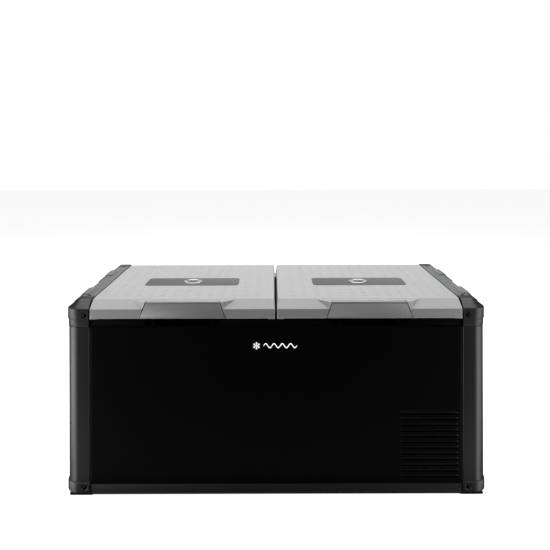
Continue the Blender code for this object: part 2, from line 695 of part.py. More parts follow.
# ---------------------------------------------------------------- assembly
def build():
    for item in list(bpy.data.objects):
        bpy.data.objects.remove(item)
    look = make_materials()

    base_tray(look["cap_plastic"])
    front_panel(look["panel_steel"])
    rear_panel(look["panel_steel"])
    for side_name, side in SIDES.items():
        side_panel(f"{side_name}_panel", side, look["panel_steel"])
        side_rail(f"side_rail_{side_name}", side, look["rail_aluminium"])
        handle(f"handle_{side_name}", side, look["rubber"])
        for end_name, end in ENDS.items():
            place = f"{end_name}_{side_name}"
            corner_post(f"corner_post_{place}", side, end, look["post_aluminium"])
            bottom_cap(f"bottom_cap_{place}", side, end, look["cap_plastic"])
            foot(f"foot_{place}", side, end, look["rubber"])
            top_cap(f"top_cap_{place}", side, end, look["cap_plastic"])
            handle_bracket(f"handle_bracket_{place}", side, end, look["rail_aluminium"])

        lid_shell(f"lid_shell_{side_name}", side, look["lid_plastic"])
        lid_liner(f"lid_liner_{side_name}", side, look["liner_plastic"])
        lid_seal(f"lid_seal_{side_name}", side, look["rubber"])
        badge_plate(f"badge_plate_{side_name}", side, look["badge_plastic"])
        latch_lever(f"latch_lever_{side_name}", side, look["latch_plastic"])
        hinge_bracket(f"hinge_bracket_{side_name}", side, look["cap_plastic"])
        hinge_pin(f"hinge_pin_{side_name}", side, look["steel"])

    top_frame(look["cap_plastic"])
    insulation(look["foam"])
    liner("liner_left", -1, DEEP_FLOOR, look["liner_plastic"])
    liner("liner_right", 1, SHALLOW_FLOOR, look["liner_plastic"])
    evaporator("evaporator_left", -1, 0.0800, 0.2900, look["evaporator_aluminium"])
    evaporator("evaporator_right", 1, 0.2400, 0.3300, look["evaporator_aluminium"])

    compressor(look["compressor_enamel"])
    condenser(look["steel"])
    fan_frame(look["fan_plastic"])
    fan_rotor(look["fan_plastic"])
    control_board(look["board_green"])
    control_bezel(look["control_plastic"])
    for name, y in zip(KEY_NAMES, KEY_Y):
        key(f"key_{name}", y, look["key_rubber"])
    power_socket(look["control_plastic"])


build()
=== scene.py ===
"""Looks of a dual-zone compressor cooler: finished shells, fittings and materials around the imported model.

Metres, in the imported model's own frame: +X to the right seen from the front, +Y to the back, +Z up.
"""

import json
import math

import bmesh
import bpy
from mathutils import Matrix, Vector


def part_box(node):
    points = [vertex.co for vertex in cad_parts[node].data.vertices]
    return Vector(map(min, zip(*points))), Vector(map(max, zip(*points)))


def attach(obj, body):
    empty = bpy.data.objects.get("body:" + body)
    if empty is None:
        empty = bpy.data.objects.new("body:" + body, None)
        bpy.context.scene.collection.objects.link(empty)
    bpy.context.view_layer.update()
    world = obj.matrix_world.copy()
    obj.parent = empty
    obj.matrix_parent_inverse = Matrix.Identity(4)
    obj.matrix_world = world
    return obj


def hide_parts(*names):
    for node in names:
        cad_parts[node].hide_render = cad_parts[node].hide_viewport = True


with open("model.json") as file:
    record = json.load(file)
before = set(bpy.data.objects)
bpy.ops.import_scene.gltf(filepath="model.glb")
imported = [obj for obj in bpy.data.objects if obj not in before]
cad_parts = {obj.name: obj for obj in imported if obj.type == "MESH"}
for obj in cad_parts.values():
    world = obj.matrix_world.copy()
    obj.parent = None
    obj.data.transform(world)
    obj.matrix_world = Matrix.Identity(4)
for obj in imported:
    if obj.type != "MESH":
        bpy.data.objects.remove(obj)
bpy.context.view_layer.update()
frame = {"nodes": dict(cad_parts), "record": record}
RECORD = frame["record"]
BODY = {node: body for body, nodes in RECORD["behaviour"]["bodies"].items() for node in nodes}
SLOT = {part["node"]: part["material_slot"] for part in RECORD["subparts"]}

MM = 0.001
SIDES = {"left": -1, "right": 1}
ENDS = {"front": -1, "rear": 1}


def mm(*values):
    """Millimetres as a tuple in metres."""
    return tuple(value * MM for value in values)


# ---------------------------------------------------------------- sizes, read from the frame
def middle(node, axis):
    low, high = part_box(node)
    return (low[axis] + high[axis]) / 2


POST_LOW, POST_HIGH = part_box("corner_post_front_right")
HALF_W = POST_HIGH.x                # outer face of the corner posts
HALF_D = -POST_LOW.y
CORNER_R = 27 * MM                  # plan radius of posts and caps
CAP_LOW, CAP_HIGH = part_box("top_cap_front_right")
CAP_PROUD = CAP_HIGH.x - HALF_W     # caps stand this far outside the posts
CAP_LEG = HALF_W - CAP_LOW.x
TOP_Z = CAP_HIGH.z
CAP_STEP_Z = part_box("top_frame")[1].z - 16.9 * MM    # the caps widen just above this height
SHOULDER_Z = TOP_Z - 17.2 * MM      # where the vertical faces turn into the chamfer
CHAMFER = 23 * MM                   # plan width of the chamfer
PANEL_LOW, PANEL_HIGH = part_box("front_panel")
LID_MIDDLE = middle("latch_lever_right", 0)
LID_LOW, LID_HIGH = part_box("lid_shell_right")
LID_INNER, LID_OUTER = LID_LOW.x, LID_HIGH.x
LID_Z = LID_LOW.z + 1.6 * MM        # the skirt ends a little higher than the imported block
LID_FRONT = -231.5 * MM
LID_REAR = 215 * MM
HINGE_Y = middle("hinge_pin_left", 1)
HINGE_Z = middle("hinge_pin_left", 2)
BADGE_LOW, BADGE_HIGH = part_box("badge_plate_right")


# ---------------------------------------------------------------- materials
def linear(hex_colour):
    """An sRGB colour such as "c8cacc" as linear RGBA."""
    parts = [int(hex_colour[i:i + 2], 16) / 255 for i in (0, 2, 4)]
    return (*[p / 12.92 if p <= 0.04045 else ((p + 0.055) / 1.055) ** 2.4 for p in parts], 1.0)


def per_mm(size):
    """Texture scale, in features per metre, of a pattern whose features are this many millimetres apart."""
    return 1 / (size * MM)


def add_node(tree, kind, values=None, links=None, **properties):
    """Add a node, set its properties and its inputs' values, and link its inputs to other nodes' outputs."""
    node = tree.nodes.new(kind)
    for name, value in properties.items():
        setattr(node, name, value)
    for name, value in (values or {}).items():
        node.inputs[name].default_value = value
    for name, output in (links or {}).items():
        tree.links.new(output, node.inputs[name])
    return node


def start_material(name, colour, roughness, **inputs):
    """A material, its tree and its shader, with even values set straight on the shader's own sockets."""
    material = bpy.data.materials.new(name)
    material.use_nodes = True
    tree = material.node_tree
    shader = tree.nodes["Principled BSDF"]
    shader.inputs["Base Color"].default_value = linear(colour)
    shader.inputs["Roughness"].default_value = roughness
    for socket, value in inputs.items():
        shader.inputs[socket.replace("_", " ")].default_value = value
    material.diffuse_color = linear(colour)
    return material, tree, shader


def dress(tree, shader, shades, shade_by, height=None, gloss=None, depth_mm=0.0):
    """Let colour and gloss each wander between two close values, and raise the surface by a texture."""
    dark, light = shades
    mix = add_node(tree, "ShaderNodeMix", {"A": linear(dark), "B": linear(light)}, {"Factor": shade_by},
                   data_type="RGBA")
    tree.links.new(mix.outputs["Result"], shader.inputs["Base Color"])
    if gloss:
        smoothest, roughest = gloss
        spread = add_node(tree, "ShaderNodeMapRange", {"To Min": smoothest, "To Max": roughest},
                          {"Value": height})
        tree.links.new(spread.outputs["Result"], shader.inputs["Roughness"])
    if depth_mm:
        bump = add_node(tree, "ShaderNodeBump", {"Distance": depth_mm * MM}, {"Height": height})
        tree.links.new(bump.outputs["Normal"], shader.inputs["Normal"])


def moulded(name, dark, light, roughness, grain_mm, depth_mm, ior, **inputs):
    """A moulded plastic or rubber: spark-eroded grain from the tool, and slow changes of shade and gloss."""
    material, tree, shader = start_material(name, light, roughness, IOR=ior, **inputs)
    place = add_node(tree, "ShaderNodeTexCoord").outputs["Object"]
    grain = add_node(tree, "ShaderNodeTexNoise", {"Scale": per_mm(grain_mm), "Detail": 4.0, "Roughness": 0.6},
                     {"Vector": place}).outputs["Fac"]
    flow = add_node(tree, "ShaderNodeTexNoise", {"Scale": per_mm(90), "Detail": 3.0}, {"Vector": place})
    gloss = (roughness - 0.07, roughness + 0.07)
    dress(tree, shader, (dark, light), flow.outputs["Fac"], grain, gloss, depth_mm)
    return material


def powder_coat(name, dark, light, roughness, texture_mm, depth_mm, **inputs):
    """Powder-coated metal: the orange peel of melted powder, with a fine sparkle of gloss in it."""
    material, tree, shader = start_material(name, light, roughness, **inputs)
    place = add_node(tree, "ShaderNodeTexCoord").outputs["Object"]
    peel = add_node(tree, "ShaderNodeTexVoronoi", {"Scale": per_mm(texture_mm), "Smoothness": 1.0},
                    {"Vector": place}, feature="SMOOTH_F1").outputs["Distance"]
    flow = add_node(tree, "ShaderNodeTexNoise", {"Scale": per_mm(120), "Detail": 4.0}, {"Vector": place})
    gloss = (roughness - 0.05, roughness + 0.10)
    dress(tree, shader, (dark, light), flow.outputs["Fac"], peel, gloss, depth_mm)
    return material


def drawn_metal(name, dark, light, roughness, line_mm, depth_mm, **inputs):
    """Rolled or drawn metal: faint die lines that run up and down."""
    material, tree, shader = start_material(name, light, roughness, Metallic=1.0, **inputs)
    place = add_node(tree, "ShaderNodeTexCoord").outputs["Object"]
    stretch = (per_mm(line_mm), per_mm(line_mm), per_mm(400))
    spread = add_node(tree, "ShaderNodeMapping", {"Scale": stretch}, {"Vector": place}).outputs["Vector"]
    lines = add_node(tree, "ShaderNodeTexNoise", {"Scale": 1.0, "Detail": 3.0},
                     {"Vector": spread}).outputs["Fac"]
    dress(tree, shader, (dark, light), lines, lines, (roughness - 0.05, roughness + 0.08), depth_mm)
    return material


def plain_metal(name, dark, light, roughness, speck_mm, **inputs):
    """Plated or bare metal with a soft cloud of oxide in its gloss."""
    material, tree, shader = start_material(name, light, roughness, Metallic=1.0, **inputs)
    place = add_node(tree, "ShaderNodeTexCoord").outputs["Object"]
    cloud = add_node(tree, "ShaderNodeTexNoise", {"Scale": per_mm(speck_mm), "Detail": 5.0},
                     {"Vector": place}).outputs["Fac"]
    dress(tree, shader, (dark, light), cloud, cloud, (roughness - 0.06, roughness + 0.10))
    return material


def cut_foam(name, dark, light):
    """Poured polyurethane foam: open cells of about 1 mm, drawn at 3 mm so that they show."""
    material, tree, shader = start_material(name, light, 0.9, IOR=1.5)
    place = add_node(tree, "ShaderNodeTexCoord").outputs["Object"]
    cells = add_node(tree, "ShaderNodeTexVoronoi", {"Scale": per_mm(3)},
                     {"Vector": place}).outputs["Distance"]
    dress(tree, shader, (dark, light), cells, cells, depth_mm=0.8)
    return material


def circuit_resist(name, dark, light):
    """Solder resist over copper tracks, in 6 mm cells: lighter green where copper lies under it."""
    material, tree, shader = start_material(name, light, 0.35, IOR=1.55)
    place = add_node(tree, "ShaderNodeTexCoord").outputs["Object"]
    tracks = add_node(tree, "ShaderNodeTexBrick", {"Scale": per_mm(6), "Mortar Size": 0.06},
                      {"Vector": place})
    dress(tree, shader, (dark, light), tracks.outputs["Fac"])
    return material


def lit_digit(name, colour, strength):
    """A display segment that glows behind smoked glass, a little brighter towards the middle of its lamp."""
    material, tree, shader = start_material(name, colour, 0.4)
    place = add_node(tree, "ShaderNodeTexCoord").outputs["Object"]
    lamp = add_node(tree, "ShaderNodeTexNoise", {"Scale": per_mm(8)}, {"Vector": place})
    glow = add_node(tree, "ShaderNodeMapRange", {"To Min": 0.8 * strength, "To Max": 1.2 * strength},
                    {"Value": lamp.outputs["Fac"]})
    shader.inputs["Emission Color"].default_value = linear(colour)
    tree.links.new(glow.outputs["Result"], shader.inputs["Emission Strength"])
    return material


FINISH = {
    # Light grey ABS, moulded: a soft satin skin. The 0.4 mm grain is drawn at 1.4 mm so that it shows.
    "lid_plastic": moulded("light_grey_moulded_abs", "c5c5c5", "cbcbcb", 0.50, 1.4, 0.045, 1.53),
    # The same ABS for the levers, a shade darker.
    "latch_plastic": moulded("mid_grey_moulded_abs", "aeaeae", "b4b4b4", 0.46, 1.2, 0.040, 1.53),
    # Satin-lacquered ABS inlays in the lids: dark grey and smoother than the shells.
    "badge_plastic": moulded("dark_grey_satin_lacquered_abs", "575758", "5f5f61", 0.42, 0.9, 0.012, 1.53),
    # Glass-filled polyamide corner parts: near black with a dry, even grain. 0.5 mm grain drawn at 1.6 mm.
    "cap_plastic": moulded("black_glass_filled_polyamide", "19191a", "1f1f20", 0.44, 1.6, 0.060, 1.53,
                           Specular_IOR_Level=0.75),
    # ABS top frame: black, with its colour and gloss held down further than the plastic's own as painted
    # shade, for the shadow under the lids' overhang.
    "frame_plastic": moulded("near_black_abs_painted_shade", "060606", "0a0a0a", 0.60, 1.4, 0.040, 1.53,
                             Specular_IOR_Level=0.05),
    # High-impact polystyrene liner, vacuum formed: smooth, pale and slightly waxy.
    "liner_plastic": moulded("pale_grey_polystyrene_liner", "cfd2d3", "d8dadb", 0.34, 6.0, 0.030, 1.59),
    # EPDM gasket: matt black, chalky.
    "seal_rubber": moulded("black_epdm_gasket", "131313", "1b1b1b", 0.80, 1.2, 0.040, 1.52),
    # Nitrile feet: matt and scuffed.
    "foot_rubber": moulded("black_nitrile_rubber", "101010", "191919", 0.85, 2.0, 0.100, 1.52),
    # Thermoplastic elastomer over the grips: soft touch, so the gloss is broad and low.
    "handle_rubber": moulded("black_soft_touch_elastomer", "121213", "1a1a1b", 0.66, 1.0, 0.030, 1.50),
    # Silicone keys: a soft, even sheen.
    "key_rubber": moulded("grey_silicone_rubber", "84878a", "8c8f92", 0.55, 0.8, 0.015, 1.43),
    # Polybutylene fan frame and blades: black with a semi-gloss.
    "fan_plastic": moulded("black_moulded_polybutylene", "141415", "1c1c1d", 0.42, 1.2, 0.030, 1.55),
    # Piano-black polycarbonate for the control bezel and the inlets: smooth and glossy.
    "control_plastic": moulded("gloss_black_polycarbonate", "0b0b0c", "101011", 0.22, 2.0, 0.006, 1.58),
    # Steel sheet under satin black powder coat. Its 0.8 mm orange peel is drawn at 2 mm.
    "panel_steel": powder_coat("satin_black_powder_coated_steel", "060606", "0a0a0a", 0.42, 2.0, 0.030,
                               Specular_IOR_Level=0.12),
    # The same coat on the base tray, painted a shade greyer than the panels' to stand in for the light that
    # reaches it low down.
    "tray_steel": powder_coat("black_coat_tray_painted_lighter", "2a2a2b", "303031", 0.42, 2.0, 0.030,
                              Specular_IOR_Level=0.35),
    # Aluminium rails under grey textured powder coat: a broad, dry highlight. 1 mm texture drawn at 2.4 mm.
    "rail_aluminium": powder_coat("grey_textured_powder_coated_aluminium", "7c7e7f", "8e9091", 0.50, 2.4,
                                  0.160, Specular_IOR_Level=0.40),
    # Aluminium extrusions under charcoal powder coat: satin, with a soft highlight down the round corner.
    "post_aluminium": powder_coat("charcoal_powder_coated_aluminium", "161617", "1c1c1d", 0.38, 1.6, 0.020,
                                  Specular_IOR_Level=0.85),
    # Rolled aluminium keeps faint lines from the rolls and a bright metal gloss.
    "evaporator_aluminium": drawn_metal("rolled_aluminium_sheet", "b6b8ba", "c4c6c8", 0.34, 1.0, 0.010),
    # Fin stock is thinner and duller, so its gloss is spread wider.
    "condenser_metal": drawn_metal("aluminium_fin_stock", "9a9da0", "adb0b2", 0.40, 0.8, 0.010),
    # Zinc-plated steel for pins and hinge screws: a bright but slightly cloudy gloss.
    "hinge_steel": plain_metal("zinc_plated_steel", "9fa2a5", "b4b7ba", 0.34, 6),
    # Gloss enamel on the compressor's shell: a wet coat with slow waves in it.
    "compressor_enamel": powder_coat("gloss_black_enamel", "070707", "0c0c0c", 0.28, 5.0, 0.020,
                                     Coat_Weight=0.6, Coat_Roughness=0.08),
    # Polyurethane foam: dry, yellow and open-celled.
    "foam": cut_foam("poured_polyurethane_foam", "b59a5c", "d9c48a"),
    # Fibreglass board under green resist: semi-gloss.
    "board": circuit_resist("green_solder_resist", "0a3d1e", "14572c"),
}
# Where the sheet is pressed out into hoods its coat is drawn thin and smooth, so it shines more.
HOOD_COAT = powder_coat("drawn_out_black_powder_coat", "0a0a0a", "0e0e0e", 0.34, 2.0, 0.010,
                        Specular_IOR_Level=0.30)
# Black oxide leaves a dark metal with an oily gloss.
SCREW_STEEL = plain_metal("black_oxide_steel", "2c2c2e", "3a3a3c", 0.36, 4)
# Aluminium foil pressed into a shallow dish: bright, with sharp reflections.
MEDALLION_FOIL = plain_metal("bright_silver_foil", "cfd1d3", "e2e4e5", 0.20, 10)
# Screen-printed white ink: matt and opaque.
PRINT_WHITE = moulded("white_screen_print", "e6e6e6", "efefef", 0.45, 1.0, 0.010, 1.50)
# White ink that glows a little of its own accord: painted light, so the mark looks brighter than plain white
# there.
GLOWING_MARK_INK = moulded("white_ink_painted_glow", "ececec", "f4f4f4", 0.40, 1.0, 0.010, 1.50,
                   Emission_Strength=0.42)
# Drawn copper tube, with a little brown oxide in its gloss.
COPPER = plain_metal("drawn_copper_tube", "a8623c", "c27a52", 0.30, 12)
# Nickel over brass: pale and warm, worn smooth by plugs.
BRASS = plain_metal("nickel_plated_brass_pin", "b9b3a2", "cbc6b8", 0.25, 3)
# Frosted polycarbonate over the compartment lamps: milky, with a soft gloss.
LAMP = moulded("frosted_polycarbonate_lens", "e4e8ea", "eef1f2", 0.30, 1.5, 0.020, 1.58)
# Smoked acrylic in front of the digits: almost black and sharply reflective.
DISPLAY_GLASS = moulded("smoked_acrylic_window", "050506", "08080a", 0.08, 8.0, 0.002, 1.49)
DIGIT_ON = lit_digit("lit_display_segment", "9fe0ff", 2.5)
# Segments that are off are a shade lighter than the window.
DIGIT_OFF = moulded("unlit_display_segment", "101315", "14181a", 0.40, 1.0, 0.005, 1.50)


# ---------------------------------------------------------------- shape tools
def new_object(name, bm):
    bmesh.ops.recalc_face_normals(bm, faces=bm.faces)
    mesh = bpy.data.meshes.new(name)
    bm.to_mesh(mesh)
    bm.free()
    made = bpy.data.objects.new(name, mesh)
    bpy.context.scene.collection.objects.link(made)
    return made


def skin(name, loops, ring=False):
    """Skin over loops of equal length: the ends are capped, or joined to each other for a ring."""
    bm = bmesh.new()
    rows = [[bm.verts.new(point) for point in loop] for loop in loops]
    pairs = list(zip(rows, rows[1:]))
    if ring:
        pairs.append((rows[-1], rows[0]))
    for low, high in pairs:
        for i in range(len(low)):
            j = (i + 1) % len(low)
            bm.faces.new((low[i], low[j], high[j], high[i]))
    if not ring:
        bm.faces.new(rows[0])
        bm.faces.new(rows[-1])
    return new_object(name, bm)


def extruded(name, outline, axis, low, high):
    """Extrude a flat outline along an axis; its two numbers are the other two axes, in X, Y, Z order."""
    loops = []
    for along in (low, high):
        loop = []
        for a, b in outline:
            point = [a, b]
            point.insert("xyz".index(axis), along)
            loop.append(point)
        loops.append(loop)
    return skin(name, loops)


def arc(centre, radius, start, stop, steps):
    """Points on an arc, angles in degrees, both ends included."""
    turns = [math.radians(start + (stop - start) * i / steps) for i in range(steps + 1)]
    return [(centre[0] + radius * math.cos(t), centre[1] + radius * math.sin(t)) for t in turns]


def circle(centre, radius, steps=32):
    return arc(centre, radius, 0, 360, steps)[:-1]


def rounded(a0, a1, b0, b1, radius, steps=6):
    """A rectangle with round corners, as a list of flat points."""
    points = []
    for (a, b), start in (((a1, b0), 270), ((a1, b1), 0), ((a0, b1), 90), ((a0, b0), 180)):
        centre = (a + math.copysign(radius, a0 + a1 - 2 * a), b + math.copysign(radius, b0 + b1 - 2 * b))
        points += arc(centre, radius, start, start + 90, steps)
    return points


def grown(rectangle, by, steps=6):
    a0, a1, b0, b1, radius = rectangle
    return rounded(a0 - by, a1 + by, b0 - by, b1 + by, radius + by, steps)


def at_height(outline, z):
    return [(x, y, z) for x, y in outline]


def block(name, low, high):
    outline = [(low[0], low[1]), (high[0], low[1]), (high[0], high[1]), (low[0], high[1])]
    return extruded(name, outline, "z", low[2], high[2])


def span(side, near, far):
    """Low and high X of a stretch given by its distances from the middle plane."""
    return sorted((side * near, side * far))


def turned(name, profile, centre, axis, steps=32):
    """Turn (radius, height) points about an axis through centre; heights run along the axis."""
    turn = Vector((0, 0, 1)).rotation_difference(Vector(axis)).to_matrix()
    loops = []
    for radius, height in profile:
        ring = circle((0, 0), radius, steps)
        loops.append([Vector(centre) + turn @ Vector((x, y, height)) for x, y in ring])
    return skin(name, loops)


def swept(name, path, section, closed=False):
    """Carry a flat section, a list of (across, up) points or a function of the station, along a path."""
    points = [Vector(p) for p in path]
    loops = []
    across = None
    for i, point in enumerate(points):
        before = points[i - 1] if i or closed else point
        after = points[(i + 1) % len(points)] if closed or i + 1 < len(points) else point
        forward = (after - before).normalized()
        if across is None:
            across = forward.orthogonal().normalized()
        across = (across - across.dot(forward) * forward).normalized()
        up = forward.cross(across)
        shape = section(i) if callable(section) else section
        loops.append([point + a * across + b * up for a, b in shape])
    return skin(name, loops, ring=closed)


def settle(piece):
    """Bake a piece's modifiers into its mesh."""
    bpy.context.view_layer.update()
    result = bpy.data.meshes.new_from_object(piece.evaluated_get(bpy.context.evaluated_depsgraph_get()))
    piece.modifiers.clear()
    piece.data = result
    result.name = piece.name
    return piece


def boolean(piece, tools, operation):
    for tool in tools:
        step = piece.modifiers.new(operation.lower(), "BOOLEAN")
        step.operation = operation
        step.solver = "EXACT"
        step.object = tool
    settle(piece)
    for tool in tools:
        bpy.data.objects.remove(tool)
    return piece


def carve(piece, *tools):
    return boolean(piece, tools, "DIFFERENCE")


def weld(piece, *tools):
    return boolean(piece, tools, "UNION")


def gather(name, pieces):
    """Join pieces that don't touch into one object."""
    bm = bmesh.new()
    for each in pieces:
        each.data.transform(each.matrix_world)
        bm.from_mesh(each.data)
        bpy.data.objects.remove(each)
    return new_object(name, bm)


def soften(piece, width_mm, segments=3, angle=24):
    """Round every edge sharper than an angle, and keep the flats flat in the shading."""
    clean = bmesh.new()
    clean.from_mesh(piece.data)
    bmesh.ops.remove_doubles(clean, verts=clean.verts, dist=0.000008)
    bmesh.ops.dissolve_limit(clean, angle_limit=math.radians(0.6), verts=clean.verts, edges=clean.edges)
    clean.to_mesh(piece.data)
    clean.free()
    piece.data.shade_smooth()
    edge = piece.modifiers.new("edge", "BEVEL")
    edge.width = width_mm * MM
    edge.segments = segments
    edge.limit_method = "ANGLE"
    edge.angle_limit = math.radians(angle)
    edge.harden_normals = True
    edge.use_clamp_overlap = True
    return settle(piece)


def smooth(piece, angle=35):
    piece.data.shade_smooth()
    piece.data.set_sharp_from_angle(angle=math.radians(angle))
    return piece


def true_flats(piece):
    """Weight the shading by area, so that broad flats stay flat beside narrow rounded edges."""
    weigh = piece.modifiers.new("flats", "WEIGHTED_NORMAL")
    weigh.keep_sharp = True
    return settle(piece)


def copy_of(node, name=None):
    """A piece with the CAD node's own mesh, to be finished and shown in its place."""
    made = bpy.data.objects.new(name or f"{node}_finished", frame["nodes"][node].data.copy())
    made.data.materials.clear()
    bpy.context.scene.collection.objects.link(made)
    return made


def show(piece, material, body, stands_for=()):
    """Give a piece its material and its body, and hide the CAD parts it stands for."""
    piece.data.materials.clear()
    piece.data.materials.append(material)
    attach(piece, body)
    if stands_for:
        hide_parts(*stands_for)
    return piece


def show_softened(node, name, width_mm, segments=2, angle=24):
    """Show a CAD node's own mesh with its edges rounded."""
    show_as(soften(copy_of(node, name), width_mm, segments, angle), node)


def show_as(piece, *nodes):
    """Show a piece in place of CAD nodes, with the first one's body and the finish of its slot."""
    first = nodes[0]
    return show(piece, FINISH[SLOT[first]], BODY[first], nodes)


# ---------------------------------------------------------------- screws
def screw_mesh(diameter):
    """A pan head with a cross recess, its seat at the origin and its head up +Z."""
    radius = diameter / 2
    rise = 0.28 * diameter
    profile = [(radius * 0.98, -0.6 * MM), (radius, 0.0), (radius, rise * 0.25)]
    profile += [(radius * math.cos(t), rise * (0.25 + 0.75 * math.sin(t)))
                for t in (math.radians(90 * i / 8) for i in range(1, 8))]
    profile.append((radius * 0.05, rise))
    head = turned("screw_head", profile, (0, 0, 0), (0, 0, 1), 28)
    long, wide = radius * 0.62, radius * 0.15
    arms = [block("arm", (-long, -wide, rise * 0.35), (long, wide, rise + MM)),
            block("arm", (-wide, -long, rise * 0.35), (wide, long, rise + MM))]
    carve(head, *arms)
    smooth(head, 30)
    mesh = head.data
    bpy.data.objects.remove(head)
    return mesh


SCREWS = {}


def screw(name, place, axis, diameter, body="cabinet", material=None, turn=20):
    """Put a screw head at a place, its head pointing along axis."""
    key = round(diameter / MM, 2)
    if key not in SCREWS:
        SCREWS[key] = screw_mesh(diameter)
    made = bpy.data.objects.new(name, SCREWS[key].copy())
    bpy.context.scene.collection.objects.link(made)
    spin = Matrix.Rotation(math.radians(turn), 4, "Z")
    aim = Vector((0, 0, 1)).rotation_difference(Vector(axis)).to_matrix().to_4x4()
    made.data.transform(Matrix.Translation(place) @ aim @ spin)
    return show(made, material or SCREW_STEEL, body)


# ---------------------------------------------------------------- cabinet corners
def corner_point(side, end, u, v):
    """u runs in from the side face, v in from the front or rear face."""
    return side * (HALF_W - u), end * (HALF_D - v)


def corner_arc(depth, outward=True, steps=16):
    """The round part of a corner at a depth below the posts' surface; a negative depth is proud."""
    points = arc((CORNER_R, CORNER_R), CORNER_R - depth, 270, 180, steps)
    return points if outward else points[::-1]


def corner_loop(side, end, outline, z):
    return [(*corner_point(side, end, u, v), z) for u, v in outline]


POST_SCREW_Z = mm(153, 259)
LOW_SCREW_Z = 44 * MM
CAP_SCREW_INSET = 40 * MM           # from the side face to the screws on the caps' fronts


def corner_post(side_name, end_name):
    side, end = SIDES[side_name], ENDS[end_name]
    node = f"corner_post_{end_name}_{side_name}"
    low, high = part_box(node)
    leg, tongue, face, back = 49.8 * MM, 59.0 * MM, 3.4 * MM, 5.2 * MM
    edge = 0.6 * MM
    outline = ([(leg, edge), (leg - edge, 0.0)] + corner_arc(0.0) + [(0.0, leg - edge), (edge, leg)]
               + [(face, leg), (face, tongue), (back, tongue)] + corner_arc(back, outward=False)
               + [(tongue, back), (tongue, face), (leg, face)])
    loops = [corner_loop(side, end, outline, z) for z in (low.z, high.z)]
    show_as(smooth(skin(f"post_{end_name}_{side_name}", loops), 30), node)

    # Two screws on the round of the corner and a small one low on the side.
    diagonal = Vector((side * math.cos(math.radians(38)), end * math.sin(math.radians(38)), 0))
    centre = Vector((side * (HALF_W - CORNER_R), end * (HALF_D - CORNER_R), 0))
    for i, z in enumerate(POST_SCREW_Z):
        place = centre + diagonal * (CORNER_R - 1.7 * MM) + Vector((0, 0, z))
        screw(f"post_screw_{end_name}_{side_name}_{i}", place, diagonal, 8.4 * MM, turn=30 + 40 * i)
    place = (side * (HALF_W - 1.0 * MM), end * (HALF_D - 36 * MM), LOW_SCREW_Z)
    screw(f"post_low_screw_{end_name}_{side_name}", place, (side, 0, 0), 5.5 * MM)


def angle_outline(leg, proud, wall):
    """An L with a round outer and inner corner."""
    return ([(leg, -proud)] + corner_arc(-proud) + [(-proud, leg), (wall, leg)]
            + corner_arc(wall, outward=False) + [(leg, wall)])


def bottom_cap(side_name, end_name):
    side, end = SIDES[side_name], ENDS[end_name]
    node = f"bottom_cap_{end_name}_{side_name}"
    low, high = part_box(node)
    leg, wall, edge = 51.5 * MM, 7.0 * MM, 1.0 * MM
    levels = ((-0.2 * MM, low.z), (CAP_PROUD - edge, low.z + 2.2 * MM), (CAP_PROUD, low.z + 3.8 * MM),
              (CAP_PROUD, high.z - 2.2 * MM), (CAP_PROUD - 0.4 * MM, high.z - 1.3 * MM), (0.4 * MM, high.z))
    loops = [corner_loop(side, end, angle_outline(leg, proud, wall), z) for proud, z in levels]
    piece = skin(f"lower_cap_{end_name}_{side_name}", loops)
    x, z = side * (HALF_W - CAP_SCREW_INSET), 17.2 * MM
    face = end * (HALF_D + CAP_PROUD)
    dish = turned("dish", [mm(6.7, 3), (6.6 * MM, 0), mm(5.4, -1.6), mm(0.5, -1.7)],
                  (x, face, z), (0, end, 0), 32)
    carve(piece, dish)
    show_as(soften(piece, 0.35, 2), node)
    screw(f"lower_cap_screw_{end_name}_{side_name}", (x, face - end * 2.1 * MM, z), (0, end, 0), 7.4 * MM)


def top_cap(side_name, end_name):
    """A solid-looking corner block: a step under its widest ring, and a chamfer on both outward faces."""
    side, end = SIDES[side_name], ENDS[end_name]
    node = f"top_cap_{end_name}_{side_name}"
    low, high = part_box(node)

    def ring(proud, z):
        outline = [(CAP_LEG, -proud)] + corner_arc(-proud) + [(-proud, CAP_LEG), (CAP_LEG, CAP_LEG)]
        return corner_loop(side, end, outline, z)

    lower = CAP_PROUD - 1.6 * MM
    slope = CHAMFER / (high.z - SHOULDER_Z)
    levels = ((0.2 * MM, low.z), (lower, low.z + 1.2 * MM), (lower, CAP_STEP_Z),
              (CAP_PROUD - 0.3 * MM, CAP_STEP_Z + 0.7 * MM), (CAP_PROUD, CAP_STEP_Z + 1.3 * MM),
              (CAP_PROUD, SHOULDER_Z - 1.0 * MM), (CAP_PROUD - 0.35 * MM, SHOULDER_Z + 0.2 * MM),
              (CAP_PROUD - 1.3 * MM * slope, SHOULDER_Z + 1.3 * MM),
              (CAP_PROUD - CHAMFER + 1.4 * MM * slope, high.z - 1.4 * MM),
              (CAP_PROUD - CHAMFER + 0.3 * MM, high.z - 0.3 * MM), (CAP_PROUD - CHAMFER - 1.2 * MM, high.z))
    piece = skin(f"upper_cap_{end_name}_{side_name}", [ring(proud, z) for proud, z in levels])

    # A teardrop recess on the front or rear face holds the screw.
    x, z = side * (HALF_W - CAP_SCREW_INSET), 390 * MM
    face = end * (HALF_D + CAP_PROUD)
    drop = [(x + a, z + b) for a, b in arc((0, 0), 5.6 * MM, 150, 390, 20)]
    drop.append((x, z + 8.6 * MM))
    depths = sorted((face + end * 3 * MM, face - end * 2.0 * MM))
    carve(piece, extruded("drop", drop, "y", *depths))
    show_as(soften(piece, 0.45, 2, 40), node)
    place = (x, face - end * 2.2 * MM, z)
    screw(f"upper_cap_screw_{end_name}_{side_name}", place, (0, end, 0), 8.0 * MM, turn=35)


# ---------------------------------------------------------------- base and skins
def base_tray():
    # The tray's coat is painted a shade greyer: painted light, not a different finish.
    show_softened("base_tray", "tray", 0.5)
    for side_name in SIDES:
        for end_name in ENDS:
            node = f"foot_{end_name}_{side_name}"
            show_softened(node, f"pad_{end_name}_{side_name}", 0.6, 3)


